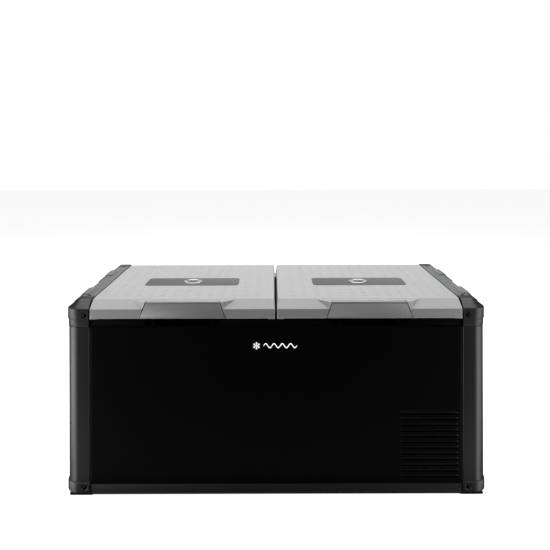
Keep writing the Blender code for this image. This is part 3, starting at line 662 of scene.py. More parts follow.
def louvre_blade(name, along, axis, face, inward, z):
    """A strip that leans in behind a slot, pressed from the sheet: it starts at the slot's top edge."""
    low, high = along
    top = (face + inward * 1.2 * MM, z + 3.4 * MM)
    foot = (face + inward * 7.0 * MM, z - 3.2 * MM)
    thick = 0.9 * MM
    outline = [top, foot, (foot[0] + inward * thick, foot[1] + thick * 0.3),
               (top[0] + inward * thick, top[1] + thick * 0.3)]
    return extruded(name, outline, axis, low, high)


def louvre_hood(along, axis, face, outward, z):
    """A lip pressed out of the sheet over a slot, with rounded ends."""
    low, high = along
    shares = (0.0, 0.06, 0.2, 0.45, 1.0)
    stations = [(low + HOOD_END * s, math.sqrt(1 - (1 - s) ** 2)) for s in shares]
    stations += [(low + high - place, rise) for place, rise in stations[::-1]]
    loops = []
    for place, rise in stations:
        proud = 0.05 * MM + HOOD_RISE * rise
        shape = [(-0.4 * MM, 4.7), (0.0, 4.5), (proud * 0.6, 4.1), (proud * 0.95, 3.4), (proud, 2.7),
                 (proud, 1.4), (-0.4 * MM, 1.2)]
        points = [(face + outward * depth, z + up * MM) for depth, up in shape]
        loops.append([(place, a, b) if axis == "x" else (a, place, b) for a, b in points])
    return skin("hood", loops)


def slot_cutters(slots, axis, low, high):
    """Tools that cut a set of round-ended slots between two places on an axis."""
    tools = []
    for i in range(slots["count"]):
        z = slots["first_z"] + i * LOUVRE_PITCH
        outline = rounded(*slots["along"], z - SLOT_HALF, z + SLOT_HALF, SLOT_HALF * 0.999, 8)
        tools.append(extruded("slot", outline, axis, low, high))
    return tools


LOUVRE_PITCH = 12.35 * MM
SLOT_HALF = 3.0 * MM
THROUGH_FRONT = (-0.24, -0.22)      # Y range that goes right through the front panel
THROUGH_SIDE = (0.44, 0.47)         # X range that goes right through the right panel
HOOD_RISE = 1.7 * MM
HOOD_END = 6 * MM
FRONT_SLOTS = {"along": mm(271, 395), "first_z": 39.4 * MM, "count": 12}
SIDE_SLOTS = {"along": mm(20, 140), "first_z": 45.5 * MM, "count": 9}


def panel_outline(half_length):
    """Plan of a folded sheet: a flat field, and edges that fall away in a soft roll over their last 10 mm."""
    hem, fall, thick = 10 * MM, 0.8 * MM, 3.0 * MM
    face = 0.4 * MM
    roll = [(half_length - hem + hem * math.sin(t), face + fall * (1 - math.cos(t)))
            for t in (math.radians(90 * i / 6) for i in range(7))]
    return [(-a, b) for a, b in roll[::-1]] + roll + [(half_length, thick), (-half_length, thick)]


def louvres(name, slots, axis, face, outward):
    """The blades behind a set of slots and the hoods over them."""
    blades, hoods = [], []
    for i in range(slots["count"]):
        z = slots["first_z"] + i * LOUVRE_PITCH
        blades.append(louvre_blade("blade", slots["along"], axis, face - outward * 2.0 * MM, -outward, z))
        hoods.append(louvre_hood(slots["along"], axis, face - outward * 0.4 * MM, outward, z))
    show(smooth(gather(f"{name}_louvre_blades", blades)), FINISH["panel_steel"], "cabinet")
    show(smooth(gather(f"{name}_louvre_hoods", hoods), 45), HOOD_COAT, "cabinet")


def front_and_rear_panels():
    half = PANEL_HIGH.x
    for end_name, end in ENDS.items():
        node = f"{end_name}_panel"
        outline = [(x, end * (HALF_D - v)) for x, v in panel_outline(half)]
        piece = extruded(f"{end_name}_skin", outline, "z", PANEL_LOW.z, PANEL_HIGH.z)
        if end < 0:
            carve(piece, *slot_cutters(FRONT_SLOTS, "y", *THROUGH_FRONT))
        show_as(soften(piece, 0.5, 3, 30), node)
    louvres("front", FRONT_SLOTS, "x", -HALF_D, -1)


def side_panels():
    for side_name, side in SIDES.items():
        node = f"{side_name}_panel"
        low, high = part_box(node)
        outline = [(side * (HALF_W - v), y) for y, v in panel_outline(high.y)]
        piece = extruded(f"{side_name}_skin", outline, "z", low.z, high.z)
        if side > 0:
            tools = slot_cutters(SIDE_SLOTS, "x", *THROUGH_SIDE)
            near, far = THROUGH_SIDE
            margin = 6.0 * MM
            for fitting in ("control_bezel", "power_socket"):
                a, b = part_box(fitting)
                tools.append(block("hole", (near, a.y + margin, a.z + margin),
                                   (far, b.y - margin, b.z - margin)))
            carve(piece, *tools)
        show_as(soften(piece, 0.5, 3, 30), node)
    louvres("side", SIDE_SLOTS, "y", HALF_W, 1)


def stroke_outline(a0, b0, a1, b1, width, steps):
    """A straight stroke with round ends, as flat points."""
    turn = math.degrees(math.atan2(b1 - b0, a1 - a0))
    return (arc((a1, b1), width / 2, turn - 90, turn + 90, steps)
            + arc((a0, b0), width / 2, turn + 90, turn + 270, steps))


def front_mark():
    """A generic mark printed on the front: a six-armed snowflake and a wave of cool air beside it."""
    y, proud = -HALF_D + 0.4 * MM, 0.15 * MM
    stroke = 1.9 * MM
    parts = []

    def stick(x0, z0, x1, z1, width=stroke):
        outline = stroke_outline(x0, z0, x1, z1, width, 6)
        parts.append(extruded("stroke", outline, "y", y - proud, y + 0.05 * MM))

    centre_x, centre_z, arm = -42.5 * MM, 323.5 * MM, 7.6 * MM
    for i in range(6):
        turn = math.radians(30 + 60 * i)
        dx, dz = math.cos(turn), math.sin(turn)
        hub = 1.2 * MM
        stick(centre_x + dx * hub, centre_z + dz * hub, centre_x + dx * arm, centre_z + dz * arm, 1.7 * MM)
        for tilt in (-45, 45):
            branch = turn + math.radians(tilt)
            x, z = centre_x + dx * arm * 0.55, centre_z + dz * arm * 0.55
            stick(x, z, x + math.cos(branch) * arm * 0.38, z + math.sin(branch) * arm * 0.38, 1.3 * MM)

    # Three waves of one height, side by side in a row.
    start, count, pitch, height = -27 * MM, 36, 2.0 * MM, 4.6 * MM
    crest = [(start + i * pitch, centre_z + height * math.sin(math.tau * i / 9)) for i in range(count + 1)]
    for (x0, z0), (x1, z1) in zip(crest, crest[1:]):
        stick(x0, z0, x1, z1)
    # The mark's ink glows a little: painted light that makes it read bright white.
    show(smooth(gather("front_mark", parts)), GLOWING_MARK_INK, "cabinet")


# ---------------------------------------------------------------- top frame and rails
GROOVE_PITCH = 4.2 * MM             # fine grooves run the length of each rail
RAIL_SCREW_X = 420.5 * MM
RAIL_SCREW_INSET = 9 * MM           # from each end of a rail
RAIL_TOP = 420.5 * MM
RAIL_SHOULDER = mm(456.0, 405.0)


def top_frame():
    # The frame's finish is black, darkened further with painted shade for the band under the lids.
    show_softened("top_frame", "upper_frame", 0.4)


def rail_outline(inner, low_z):
    """|x|, z of a rail: a flat top beside the lid, a slope and the outer wall, with fine grooves along it."""
    flat = [(inner, low_z), (inner, RAIL_TOP - 0.6 * MM), (inner + 0.6 * MM, RAIL_TOP)]
    edge = (435.0 * MM, RAIL_TOP)
    for start, stop in ((flat[-1], edge), (edge, RAIL_SHOULDER)):
        run = Vector(stop) - Vector(start)
        along = run.normalized()
        down = Vector((along.y, -along.x)) * 0.7 * MM
        count = int(run.length / GROOVE_PITCH)
        for i in range(count):
            centre = Vector(start) + along * ((i + 0.5) * run.length / count)
            flat += [tuple(centre - along * 0.9 * MM), tuple(centre - along * 0.5 * MM + down),
                     tuple(centre + along * 0.5 * MM + down), tuple(centre + along * 0.9 * MM)]
        flat.append(stop)
    wall = inner + 5 * MM
    return flat + [(RAIL_SHOULDER[0], low_z), (451.0 * MM, low_z), mm(451.0, 402.5),
                   mm(433.4, 415.5), (wall, 415.5 * MM), (wall, low_z)]


def side_rails():
    for side_name, side in SIDES.items():
        node = f"side_rail_{side_name}"
        low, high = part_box(node)
        inner = min(abs(low.x), abs(high.x))
        outline = [(side * x, z) for x, z in rail_outline(inner, low.z)]
        rail = extruded(f"rail_{side_name}", outline, "y", low.y, high.y)
        wells = []
        for end in ENDS.values():
            place = (side * RAIL_SCREW_X, end * (high.y - RAIL_SCREW_INSET), RAIL_TOP)
            wells.append(turned("well", [mm(5.0, 1), mm(5.0, -2.4)], place, (0, 0, 1), 28))
        carve(rail, *wells)
        show_as(smooth(rail, 20), node)
        for end_name, end in ENDS.items():
            place = (side * RAIL_SCREW_X, end * (high.y - RAIL_SCREW_INSET), RAIL_TOP - 2.3 * MM)
            screw(f"rail_screw_{end_name}_{side_name}", place, (0, 0, 1), 7.6 * MM, turn=10)


# ---------------------------------------------------------------- lids
DIMPLE_PITCH = 27 * MM
DIMPLE_WIDTH = 13.5 * MM
DIMPLE_DEPTH = 1.3 * MM
DIMPLE_COUNT = 14
DIMPLE_FIRST = mm(40, -178.5)   # distance from the middle plane, and Y, of the first dimple


def lid_dimples(side):
    """Round dimples with steep rims and flat floors, in rows over the top, left out around the inlay."""
    radius = DIMPLE_WIDTH / 2
    shape = ((0.30, 1.0), (0.62, 1.0), (0.74, 0.80), (0.94, 0.16), (1.0, 0.0))
    profile = [(radius * share, -DIMPLE_DEPTH * sunk) for share, sunk in shape] + [(radius * 1.06, 0.5 * MM)]
    margin = radius + 4 * MM
    dimples = []
    for row in range(DIMPLE_COUNT):
        y = DIMPLE_FIRST[1] + row * DIMPLE_PITCH
        for column in range(DIMPLE_COUNT):
            x = DIMPLE_FIRST[0] + column * DIMPLE_PITCH
            over_inlay = BADGE_LOW.x - margin < x < BADGE_HIGH.x + margin
            if over_inlay and BADGE_LOW.y - margin < y < BADGE_HIGH.y + margin:
                continue
            dimples.append(turned("dimple", profile, (side * x, y, TOP_Z), (0, 0, 1), 16))
    return gather("dimples", dimples)


def lid_shell(side_name):
    side = SIDES[side_name]
    node = f"lid_shell_{side_name}"
    mid = side * LID_MIDDLE
    inset = 2.0 * MM
    lip = 1.3 * MM
    levels = ((0.0, LID_FRONT - lip, LID_REAR, LID_Z), (0.0, LID_FRONT - lip, LID_REAR, LID_Z + 1.4 * MM),
              (0.0, LID_FRONT, LID_REAR, LID_Z + 3.6 * MM), (0.0, LID_FRONT, LID_REAR, SHOULDER_Z),
              (inset, LID_FRONT + CHAMFER, LID_REAR - 20 * MM, TOP_Z))
    loops = []
    for inside, y0, y1, z in levels:
        x0, x1 = span(side, LID_INNER + inside, LID_OUTER - inside)
        loops.append(at_height(rounded(x0, x1, y0, y1, 3.0 * MM, 5), z))
    piece = skin(f"lid_{side_name}", loops)

    # The console in the middle of the front slope: |x| from the lid's middle, y and z of its corners.
    corners = ((117.0, -208.0, TOP_Z / MM - 1.2), (81.0, -230.0, 417.7), (86.2, -231.8, SHOULDER_Z / MM),
               (94.5, -233.0, LID_Z / MM + 0.2), (80.0, -205.0, LID_Z / MM + 0.2))
    console = bmesh.new()
    for s in (-1, 1):
        for across, y, z in corners:
            console.verts.new((mid + s * across * MM, y * MM, z * MM))
    bmesh.ops.convex_hull(console, input=console.verts)
    weld(piece, new_object("console", console))

    latch_back = -216.9 * MM
    notch = [(mid - 95.7 * MM, LID_Z - 2 * MM), (mid + 95.7 * MM, LID_Z - 2 * MM),
             (mid + 77.5 * MM, TOP_Z + 9 * MM), (mid - 77.5 * MM, TOP_Z + 9 * MM)]
    x0, x1 = span(side, LID_INNER + 4 * MM, LID_OUTER - 4 * MM)
    seat = (mid - 113.4 * MM, mid + 113.4 * MM, BADGE_LOW.y - 0.4 * MM, BADGE_HIGH.y + 0.4 * MM)
    lip0, lip1 = span(side, LID_INNER + 15 * MM, LID_OUTER - 16 * MM)
    hollow = rounded(x0, x1, -203 * MM, 211 * MM, 4 * MM, 4)
    carve(piece, extruded("notch", notch, "y", -0.24, latch_back),
          extruded("hollow", hollow, "z", LID_Z - 10 * MM, TOP_Z - 4 * MM),
          extruded("seat", rounded(*seat, 12.4 * MM, 8), "z", TOP_Z - 1.2 * MM, TOP_Z + 10 * MM),
          block("lip_gap", (lip0, -0.24, LID_Z - MM), (lip1, -0.2285, LID_Z + 1.0 * MM)))
    soften(piece, 0.9, 3, 20)
    carve(piece, lid_dimples(side))
    true_flats(smooth(piece, 28))

    # Two hinge knuckles on webs that grow out of the rear wall.
    pin = (HINGE_Y, HINGE_Z)
    root = LID_REAR - 2 * MM
    web = [(root, HINGE_Z - 4 * MM), (HINGE_Y, HINGE_Z - 5.2 * MM), (HINGE_Y, HINGE_Z + 5.2 * MM),
           (root, HINGE_Z + 9 * MM)]
    knuckles = []
    for x in (mid - 110 * MM, mid + 110 * MM):
        knuckle = extruded("knuckle", circle(pin, 5.5 * MM, 32), "x", x - 20 * MM, x + 20 * MM)
        weld(knuckle, extruded("web", web, "x", x - 19.9 * MM, x + 19.9 * MM))
        carve(knuckle, extruded("pin_hole", circle(pin, 2.5 * MM, 24), "x", x - 30 * MM, x + 30 * MM))
        knuckles.append(soften(knuckle, 0.4, 2, 30))
    hinge = gather(f"lid_knuckles_{side_name}", knuckles)
    show(smooth(hinge), FINISH["lid_plastic"], BODY[node])
    show_as(piece, node)


def badge_plate(side_name):
    """The inlay and its round silver medallion."""
    node = f"badge_plate_{side_name}"
    low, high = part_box(node)
    show_softened(node, f"inlay_{side_name}", 0.25)
    x, y, z = (low.x + high.x) / 2, (low.y + high.y) / 2, high.z
    profile = ((22.5, -0.3), (22.5, 0.7), (21.8, 1.2), (19.6, 1.2), (18.6, 0.5), (1.0, 0.4))
    dish = [(radius * MM, rise * MM) for radius, rise in profile]
    medallion = turned(f"medallion_{side_name}", dish, (x, y, z), (0, 0, 1), 64)
    show(smooth(medallion), MEDALLION_FOIL, BODY[node])


def medallion_flake(side_name):
    """A six-armed snowflake in relief in the medallion's dish."""
    node = f"badge_plate_{side_name}"
    low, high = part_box(node)
    x, y, z = (low.x + high.x) / 2, (low.y + high.y) / 2, high.z
    parts = []
    bars = (((1.5, -0.9), (13.0, 0.9), 0), ((0.0, -0.7), (5.5, 0.7), 45), ((0.0, -0.7), (5.5, 0.7), -45))
    for i in range(6):
        turn = Matrix.Rotation(math.radians(60 * i), 4, "Z")
        for (a0, b0), (a1, b1), tilt in bars:
            bar = block("bar", (a0 * MM, b0 * MM, 0.3 * MM), (a1 * MM, b1 * MM, 0.7 * MM))
            start = Vector((7.5 * MM, 0, 0)) if tilt else Vector()
            lean = Matrix.Rotation(math.radians(tilt), 4, "Z")
            bar.data.transform(Matrix.Translation((x, y, z)) @ turn @ Matrix.Translation(start) @ lean)
            parts.append(bar)
    flake = gather(f"medallion_flake_{side_name}", parts)
    show(flake, FINISH["badge_plastic"], BODY[node])


def lid_inside(side_name):
    """The inner moulding of a lid with its plug, and the gasket round it."""
    side = SIDES[side_name]
    liner, seal = f"lid_liner_{side_name}", f"lid_seal_{side_name}"
    low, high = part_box(liner)
    plug_low, plug_high = low.z, 384 * MM
    plug = (*span(side, 31 * MM, 364 * MM), -184 * MM, 179 * MM, 26 * MM)
    body = (*span(side, LID_INNER + 4.5 * MM, LID_OUTER - 4.5 * MM), -202.5 * MM, 210.5 * MM, 4 * MM)
    fillet = 5 * MM
    loops = []
    for i in range(7):
        turn = math.radians(90 * i / 6)
        rise = fillet * (1 - math.cos(turn))
        loops.append(at_height(grown(plug, -fillet * (1 - math.sin(turn)), 10), plug_low + rise))
    loops += [at_height(grown(plug, 0, 10), plug_high), at_height(grown(body, 0, 10), plug_high),
              at_height(grown(body, 0, 10), high.z)]
    piece = skin(f"lid_inner_{side_name}", loops)

    # A sunk field with a crossing rib stiffens the moulding.
    x0, x1, y0, y1 = plug[:4]
    fields = []
    for a, b in ((x0 + 22 * MM, (x0 + x1) / 2 - 6 * MM), ((x0 + x1) / 2 + 6 * MM, x1 - 22 * MM)):
        field = (a, b, y0 + 22 * MM, y1 - 22 * MM, 12 * MM)
        fields.append(skin("field", [at_height(grown(field, 0), plug_low - 3 * MM),
                                     at_height(grown(field, 0), plug_low),
                                     at_height(grown(field, -3.5 * MM), plug_low + 3.5 * MM)]))
    carve(piece, *fields)
    show_as(soften(piece, 0.8, 3, 28), liner)

    rectangle = (*span(side, 22 * MM, 373 * MM), -192 * MM, 187 * MM, 34 * MM)
    seal_low, seal_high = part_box(seal)
    # A lip on each edge and a groove between them: (outward by, in millimetres, and share of the height).
    section = ((8.9, 0.35), (8.2, 0.05), (6.6, 0.0), (5.9, 0.22), (5.2, 0.45), (4.5, 0.22), (3.6, 0.0),
               (1.6, 0.0), (0.6, 0.12), (0.1, 0.45), (0.3, 1.0), (8.7, 1.0))
    thick = seal_high.z - seal_low.z
    rings = [at_height(grown(rectangle, by * MM, 10), seal_low.z + share * thick) for by, share in section]
    show_as(smooth(skin(f"gasket_{side_name}", rings, ring=True), 50), seal)


def latch_lever(side_name):
    """A wide lever with slanted ends across the lid's front, with hooks and a hollow for the fingers."""
    node = f"latch_lever_{side_name}"
    body, mid = BODY[node], SIDES[side_name] * LID_MIDDLE
    front, back = -233.4 * MM, -217.3 * MM
    foot, top = LID_Z + 1.0 * MM, 419.0 * MM
    section = [(front, foot), (front, foot + 1.4 * MM), (front + 1.5 * MM, foot + 3.8 * MM),
               mm(-230.2, 414.6), mm(-229.2, 414.9), mm(-229.2, 415.8),
               mm(-230.1, 416.1), mm(-229.9, 417.8), (-229.0 * MM, top), (back, top),
               (-218.3 * MM, top - 4 * MM), (-218.3 * MM, foot)]
    piece = extruded(f"lever_{side_name}", section, "x", mid - 0.1, mid + 0.1)
    for s in (-1, 1):
        beyond = [(mid + s * 93.5 * MM, foot - MM), (mid + s * 0.12, foot - MM), (mid + s * 0.12, top + MM),
                  (mid + s * 79.4 * MM, top + MM), (mid + s * 79.4 * MM, top)]
        carve(piece, extruded("slant", beyond, "y", -0.24, -0.21))
    room = rounded(mid - 60 * MM, mid + 60 * MM, foot - 12 * MM, 395 * MM, 6 * MM)
    carve(piece, extruded("finger_room", room, "y", -230.0 * MM, -0.21))
    pins = extruded("trunnion", circle(mm(-219.8, 415.5), 1.9 * MM, 20), "x", mid - 84.5 * MM,
                    mid + 84.5 * MM)
    weld(soften(piece, 0.35, 2, 30), pins)
    show_as(smooth(piece, 30), node)

    hooks = []
    for offset in mm(-74.5, 74.5):
        blade = [mm(-224.4, 390), mm(-224.4, 373.6), mm(-222.6, 371.6),
                 mm(-220.6, 371.6), mm(-220.6, 390)]
        hooks.append(extruded("hook", blade, "x", mid + offset - 5.9 * MM, mid + offset + 5.9 * MM))
    # The hooks take the top frame's black finish, which is darkened with painted shade.
    show(soften(gather(f"lever_hooks_{side_name}", hooks), 0.3, 2), FINISH["frame_plastic"], body)


def hinges(side_name):
    side = SIDES[side_name]
    bracket, pin = f"hinge_bracket_{side_name}", f"hinge_pin_{side_name}"
    show_softened(bracket, f"hinge_strip_{side_name}", 0.4, 2, 30)
    low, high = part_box(pin)
    thin, full, edge = 1.6 * MM, 2.0 * MM, 0.4 * MM
    profile = [(thin, low.x), (full, low.x + edge), (full, high.x - edge), (thin, high.x)]
    shaft = turned(f"hinge_shaft_{side_name}", profile, (0, HINGE_Y, HINGE_Z), (1, 0, 0), 24)
    show_as(smooth(shaft), pin)
    for i, offset in enumerate((-60 * MM, 0.0, 60 * MM)):
        place = (side * LID_MIDDLE + offset, 229.8 * MM, 382.6 * MM)
        screw(f"hinge_screw_{side_name}_{i}", place, (0, 0, 1), 5.5 * MM, material=FINISH["hinge_steel"])


# ---------------------------------------------------------------- carrying handles
def handle_bracket(side_name, end_name):
    side = SIDES[side_name]
    node = f"handle_bracket_{end_name}_{side_name}"
    show_softened(node, f"handle_hook_{end_name}_{side_name}", 0.6, 3, 30)
    low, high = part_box(node)
    mid = (low.y + high.y) / 2
    for i, offset in enumerate(mm(-20, 20)):
        place = (side * 469.6 * MM, mid + offset, 364 * MM)
        screw(f"handle_screw_{end_name}_{side_name}_{i}", place, (side, 0, 0), 6.5 * MM, turn=15 + 50 * i)


def handle(side_name):
    """A bail with a ribbed grip, in one skin along its path, and a trunnion at each end."""
    side = SIDES[side_name]
    node = f"handle_{side_name}"
    hook_y, pivot_x, pivot_z = 106 * MM, 464 * MM, 370 * MM
    centre_y = middle(node, 1)
    grip_x, grip_z, bend = 466.5 * MM, 310 * MM, 20 * MM
    arm_r, grip_r = 4.5 * MM, 8.5 * MM
    ends = ((6.0, 0.55), (5.6, 0.85), (4.6, 1.0), (-15.0, 1.0))
    half = [(pivot_x, hook_y, pivot_z + rise * MM, arm_r * share) for rise, share in ends]
    half.append((grip_x, hook_y, grip_z + bend, arm_r))
    for i in range(1, 13):
        turn = math.radians(90 * i / 12)
        y, z = hook_y - bend * (1 - math.cos(turn)), grip_z + bend * (1 - math.sin(turn))
        half.append((grip_x, y, z, arm_r))
    start = hook_y - bend - 6 * MM
    swell = ((0.0, arm_r), (0.6, grip_r - 1.4 * MM), (2.0, grip_r - 0.3 * MM), (4.0, grip_r))
    half += [(grip_x, start - inward * MM, grip_z, radius) for inward, radius in swell]
    rib_pitch = 5.0 * MM
    grip_half = start - 5.5 * MM
    ribs = int(grip_half / rib_pitch)
    for i in range(ribs):
        y = grip_half - i * rib_pitch
        half += [(grip_x, y, grip_z, grip_r), (grip_x, y - 0.6 * MM, grip_z, grip_r - 0.7 * MM),
                 (grip_x, y - 1.8 * MM, grip_z, grip_r - 0.7 * MM), (grip_x, y - 2.4 * MM, grip_z, grip_r)]
    path = half + [(x, -y, z, r) for x, y, z, r in half[::-1]]
    spots = [(side * x, centre_y + y, z) for x, y, z, _ in path]
    piece = swept(f"bail_{side_name}", spots, lambda i: circle((0, 0), path[i][3], 24))
    pins = []
    for end in ENDS.values():
        y = centre_y + end * hook_y
        pin = circle((side * pivot_x, pivot_z), 2.6 * MM, 20)
        pins.append(extruded("pin", pin, "y", y - 18 * MM, y + 18 * MM))
    weld(piece, *pins)
    show_as(smooth(piece, 40), node)


# ---------------------------------------------------------------- compartments
def liners():
    """Vacuum-formed tubs: round floor edges, a wall step and a flange at the mouth."""
    floors = {"left": 45 * MM, "right": 225 * MM}
    for side_name, side in SIDES.items():
        node = f"liner_{side_name}"
        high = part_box(node)[1]
        floor = floors[side_name]
        mouth = (*span(side, 25 * MM, 370 * MM), -190 * MM, 185 * MM, 30 * MM)
        skin_t, fillet = 1.5 * MM, 9 * MM
        flange = high.z - 1.8 * MM
        inner = [(0.0, high.z)]
        inner += [(-0.6 * MM, high.z - 0.6 * MM), (-0.6 * MM, floor + fillet)]
        for i in range(1, 7):
            turn = math.radians(90 * i / 6)
            inner.append((-0.6 * MM - fillet * (1 - math.cos(turn)), floor + fillet * (1 - math.sin(turn))))
        outer = [(skin_t, floor - skin_t), (skin_t, flange), (12 * MM, flange), (12 * MM, high.z - 0.4 * MM),
                 (11.6 * MM, high.z)]
        loops = [at_height(grown(mouth, by, 10), z) for by, z in outer + inner]
        piece = skin(f"tub_{side_name}", loops)
        show_as(smooth(piece, 40), node)
    drain_and_lamps(floors)


def drain_and_lamps(floors):
    for side_name, side in SIDES.items():
        floor = floors[side_name]
        # Interior lamp: a frosted lens on the rear wall, near the mouth.
        x = side * 197.5 * MM
        wall = 184.2 * MM
        bezel = extruded("lamp_frame", rounded(x - 32 * MM, x + 32 * MM, 318 * MM, 336 * MM, 4 * MM), "y",
                         wall - 2.2 * MM, wall)
        show(soften(bezel, 0.5, 3), FINISH["liner_plastic"], "cabinet").name = f"lamp_frame_{side_name}"
        lens = extruded("lamp_lens", rounded(x - 28 * MM, x + 28 * MM, 321 * MM, 333 * MM, 3 * MM), "y",
                        wall - 3.4 * MM, wall - 2.0 * MM)
        show(soften(lens, 0.5, 3), LAMP, "cabinet").name = f"lamp_lens_{side_name}"
        # Temperature probe cover with slits, low on the wall next to the middle.
        px = side * 25.8 * MM
        z = floor + 60 * MM
        cover = extruded("probe_cover", rounded(-18 * MM, 18 * MM, z - 12 * MM, z + 12 * MM, 5 * MM), "x",
                         *sorted((px, px + side * 4 * MM)))
        slits = []
        for rise in mm(-6, -2, 2, 6):
            slit = rounded(-13 * MM, 13 * MM, z + rise - 1.1 * MM, z + rise + 1.1 * MM, 1.0 * MM)
            slits.append(extruded("slit", slit, "x", *sorted((px + side * 2.6 * MM, px + side * 9 * MM))))
        carve(cover, *slits)
        show(soften(cover, 0.4, 2), FINISH["liner_plastic"], "cabinet").name = f"probe_cover_{side_name}"
        # Drain plug in the floor.
        spot = (side * 340 * MM, -160 * MM, floor)
        profile = [mm(11, -0.3), mm(11, 1.0), mm(10.2, 1.8), mm(7.5, 1.8),
                   mm(7.0, 0.9), mm(3.4, 0.9), mm(3.0, 2.6), mm(0.5, 2.8)]
        show(smooth(turned(f"drain_plug_{side_name}", profile, spot, (0, 0, 1), 32)), FINISH["seal_rubber"],
             "cabinet")


# ---------------------------------------------------------------- compressor bay
def compressor_bay():
    for node, width in (("condenser", 0.25), ("fan_frame", 0.6), ("control_board", 0.8), ("compressor", 0.8)):
        show_softened(node, f"{node}_unit", width, 2, 35)
    show_as(smooth(copy_of("fan_rotor", "rotor_wheel"), 35), "fan_rotor")
    # Discharge and suction lines from the compressor's shell.
    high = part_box("compressor")[1]
    x, y = middle("compressor", 0), middle("compressor", 1)
    reach, rise = 18 * MM, 30 * MM
    for i, (dx, dy, radius) in enumerate(((-40 * MM, -20 * MM, 3.2), (36 * MM, 24 * MM, 2.6))):
        inward = 1 if dx < 0 else -1
        route = []
        for k in range(25):
            t = k / 24
            turn = math.pi * t
            route.append((x + dx + reach * (1 - math.cos(turn)) * inward, y + dy * (1 + 0.9 * t),
                          high.z - rise + rise * math.sin(turn)))
        tube = swept(f"refrigerant_line_{i}", route, circle((0, 0), radius * MM, 14))
        show(smooth(tube), COPPER, "cabinet")


# ---------------------------------------------------------------- controls and inlets
SEGMENTS = {"1": "bc", "4": "fgbc", "8": "abcdefg", "-": "g", " ": ""}


def segment_outline(letter, width, height, bar):
    """One bar of a seven-segment digit, as (across, up) points from its lower left corner."""
    mid = height / 2
    places = {"a": (0, height, width, height), "d": (0, 0, width, 0), "g": (0, mid, width, mid),
              "f": (0, mid, 0, height), "b": (width, mid, width, height), "e": (0, 0, 0, mid),
              "c": (width, 0, width, mid)}
    a0, b0, a1, b1 = places[letter]
    gap, half = bar * 0.6, bar / 2
    if a0 == a1:
        return [(a0 - half, b0 + gap + half), (a0, b0 + gap), (a0 + half, b0 + gap + half),
                (a0 + half, b1 - gap - half), (a0, b1 - gap), (a0 - half, b1 - gap - half)]
    return [(a0 + gap, b0), (a0 + gap + half, b0 - half), (a1 - gap - half, b0 - half), (a1 - gap, b0),
            (a1 - gap - half, b0 + half), (a0 + gap + half, b0 + half)]


def control_panel():
    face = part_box("control_bezel")[1].x
    show_softened("control_bezel", "control_frame", 0.4, 3, 30)
    window = face - 1.2 * MM
    pane = rounded(*mm(-146.8, -100.2, 137.2, 162.8, 0.8))
    glass = extruded("display_window", pane, "x", window, window + 0.5 * MM)
    show(soften(glass, 0.15, 2), DISPLAY_GLASS, "cabinet")

    # Two readings, one over the other, such as 4 and -18 degrees.
    lit, unlit = [], []
    width, height, bar, pitch = 4.2 * MM, 8.0 * MM, 1.1 * MM, 7.2 * MM
    for text, z in (("  4", 151.5 * MM), ("-18", 139.8 * MM)):
        for i, letter in enumerate(text):
            y = -141 * MM + i * pitch
            for name in "abcdefg":
                on = name in SEGMENTS[letter]
                outline = [(y + a, z + b) for a, b in segment_outline(name, width, height, bar)]
                raised = 0.62 * MM if on else 0.56 * MM
                part = extruded("segment", outline, "x", window + 0.5 * MM, window + raised)
                (lit if on else unlit).append(part)
    show(gather("display_segments_lit", lit), DIGIT_ON, "cabinet")
    show(gather("display_segments_unlit", unlit), DIGIT_OFF, "cabinet")

    for name in ("power", "set", "down", "up"):
        key(name)
    power_inlets()


def key(name):
    """A domed silicone key with a raised sign on it."""
    node = f"key_{name}"
    low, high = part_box(node)
    y, z = (low.y + high.y) / 2, (low.z + high.z) / 2
    profile = [(5.0 * MM, low.x), (5.0 * MM, high.x - 1.0 * MM), (4.8 * MM, high.x - 0.6 * MM),
               (4.2 * MM, high.x - 0.35 * MM), (3.2 * MM, high.x - 0.2 * MM), (0.3 * MM, high.x - 0.15 * MM)]
    show_as(smooth(turned(f"button_{name}", profile, (0, y, z), (1, 0, 0), 36), 40), node)
    x0, x1 = high.x - 0.3 * MM, high.x
    parts = []

    def bar(a0, b0, a1, b1):
        outline = stroke_outline(y + a0, z + b0, y + a1, z + b1, 0.55 * MM, 4)
        parts.append(extruded("sign", outline, "x", x0, x1))

    if name == "power":
        ring = arc((0, 0), 2.0 * MM, 125, 415, 18)
        for (a0, b0), (a1, b1) in zip(ring, ring[1:]):
            bar(a0, b0, a1, b1)
        bar(0, 0.6 * MM, 0, 2.5 * MM)
    elif name == "set":
        for i in range(6):
            turn = math.tau * i / 6
            bar(1.2 * MM * math.cos(turn), 1.2 * MM * math.sin(turn), 2.3 * MM * math.cos(turn),
                2.3 * MM * math.sin(turn))
    else:
        up = 1 if name == "up" else -1
        bar(-1.9 * MM, -0.8 * MM * up, 0, 1.2 * MM * up)
        bar(1.9 * MM, -0.8 * MM * up, 0, 1.2 * MM * up)
    show(gather(f"button_sign_{name}", parts), PRINT_WHITE, BODY[node])


def power_inlets():
    show_softened("power_socket", "inlet_housing", 0.4, 3, 30)
    floor_x = 442.0 * MM
    pins = []
    for y in mm(-134.5, -126.5):
        outline = rounded(y - 1.1 * MM, y + 1.1 * MM, 62.5 * MM, 67.5 * MM, 1.0 * MM)
        pins.append(extruded("mains_pin", outline, "x", floor_x - 0.5 * MM, floor_x + 10 * MM))
    for y in mm(-96, -88):
        outline = rounded(y - 0.5 * MM, y + 0.5 * MM, 61.8 * MM, 68.2 * MM, 0.4 * MM)
        pins.append(extruded("blade_pin", outline, "x", floor_x - 0.5 * MM, floor_x + 9 * MM))
    show(smooth(gather("inlet_pins", pins)), BRASS, "cabinet")
    for i, y in enumerate(mm(-150.5, -69.5)):
        screw(f"inlet_screw_{i}", (457.2 * MM - 0.4 * MM, y, 65 * MM), (1, 0, 0), 4.2 * MM, turn=i * 40)


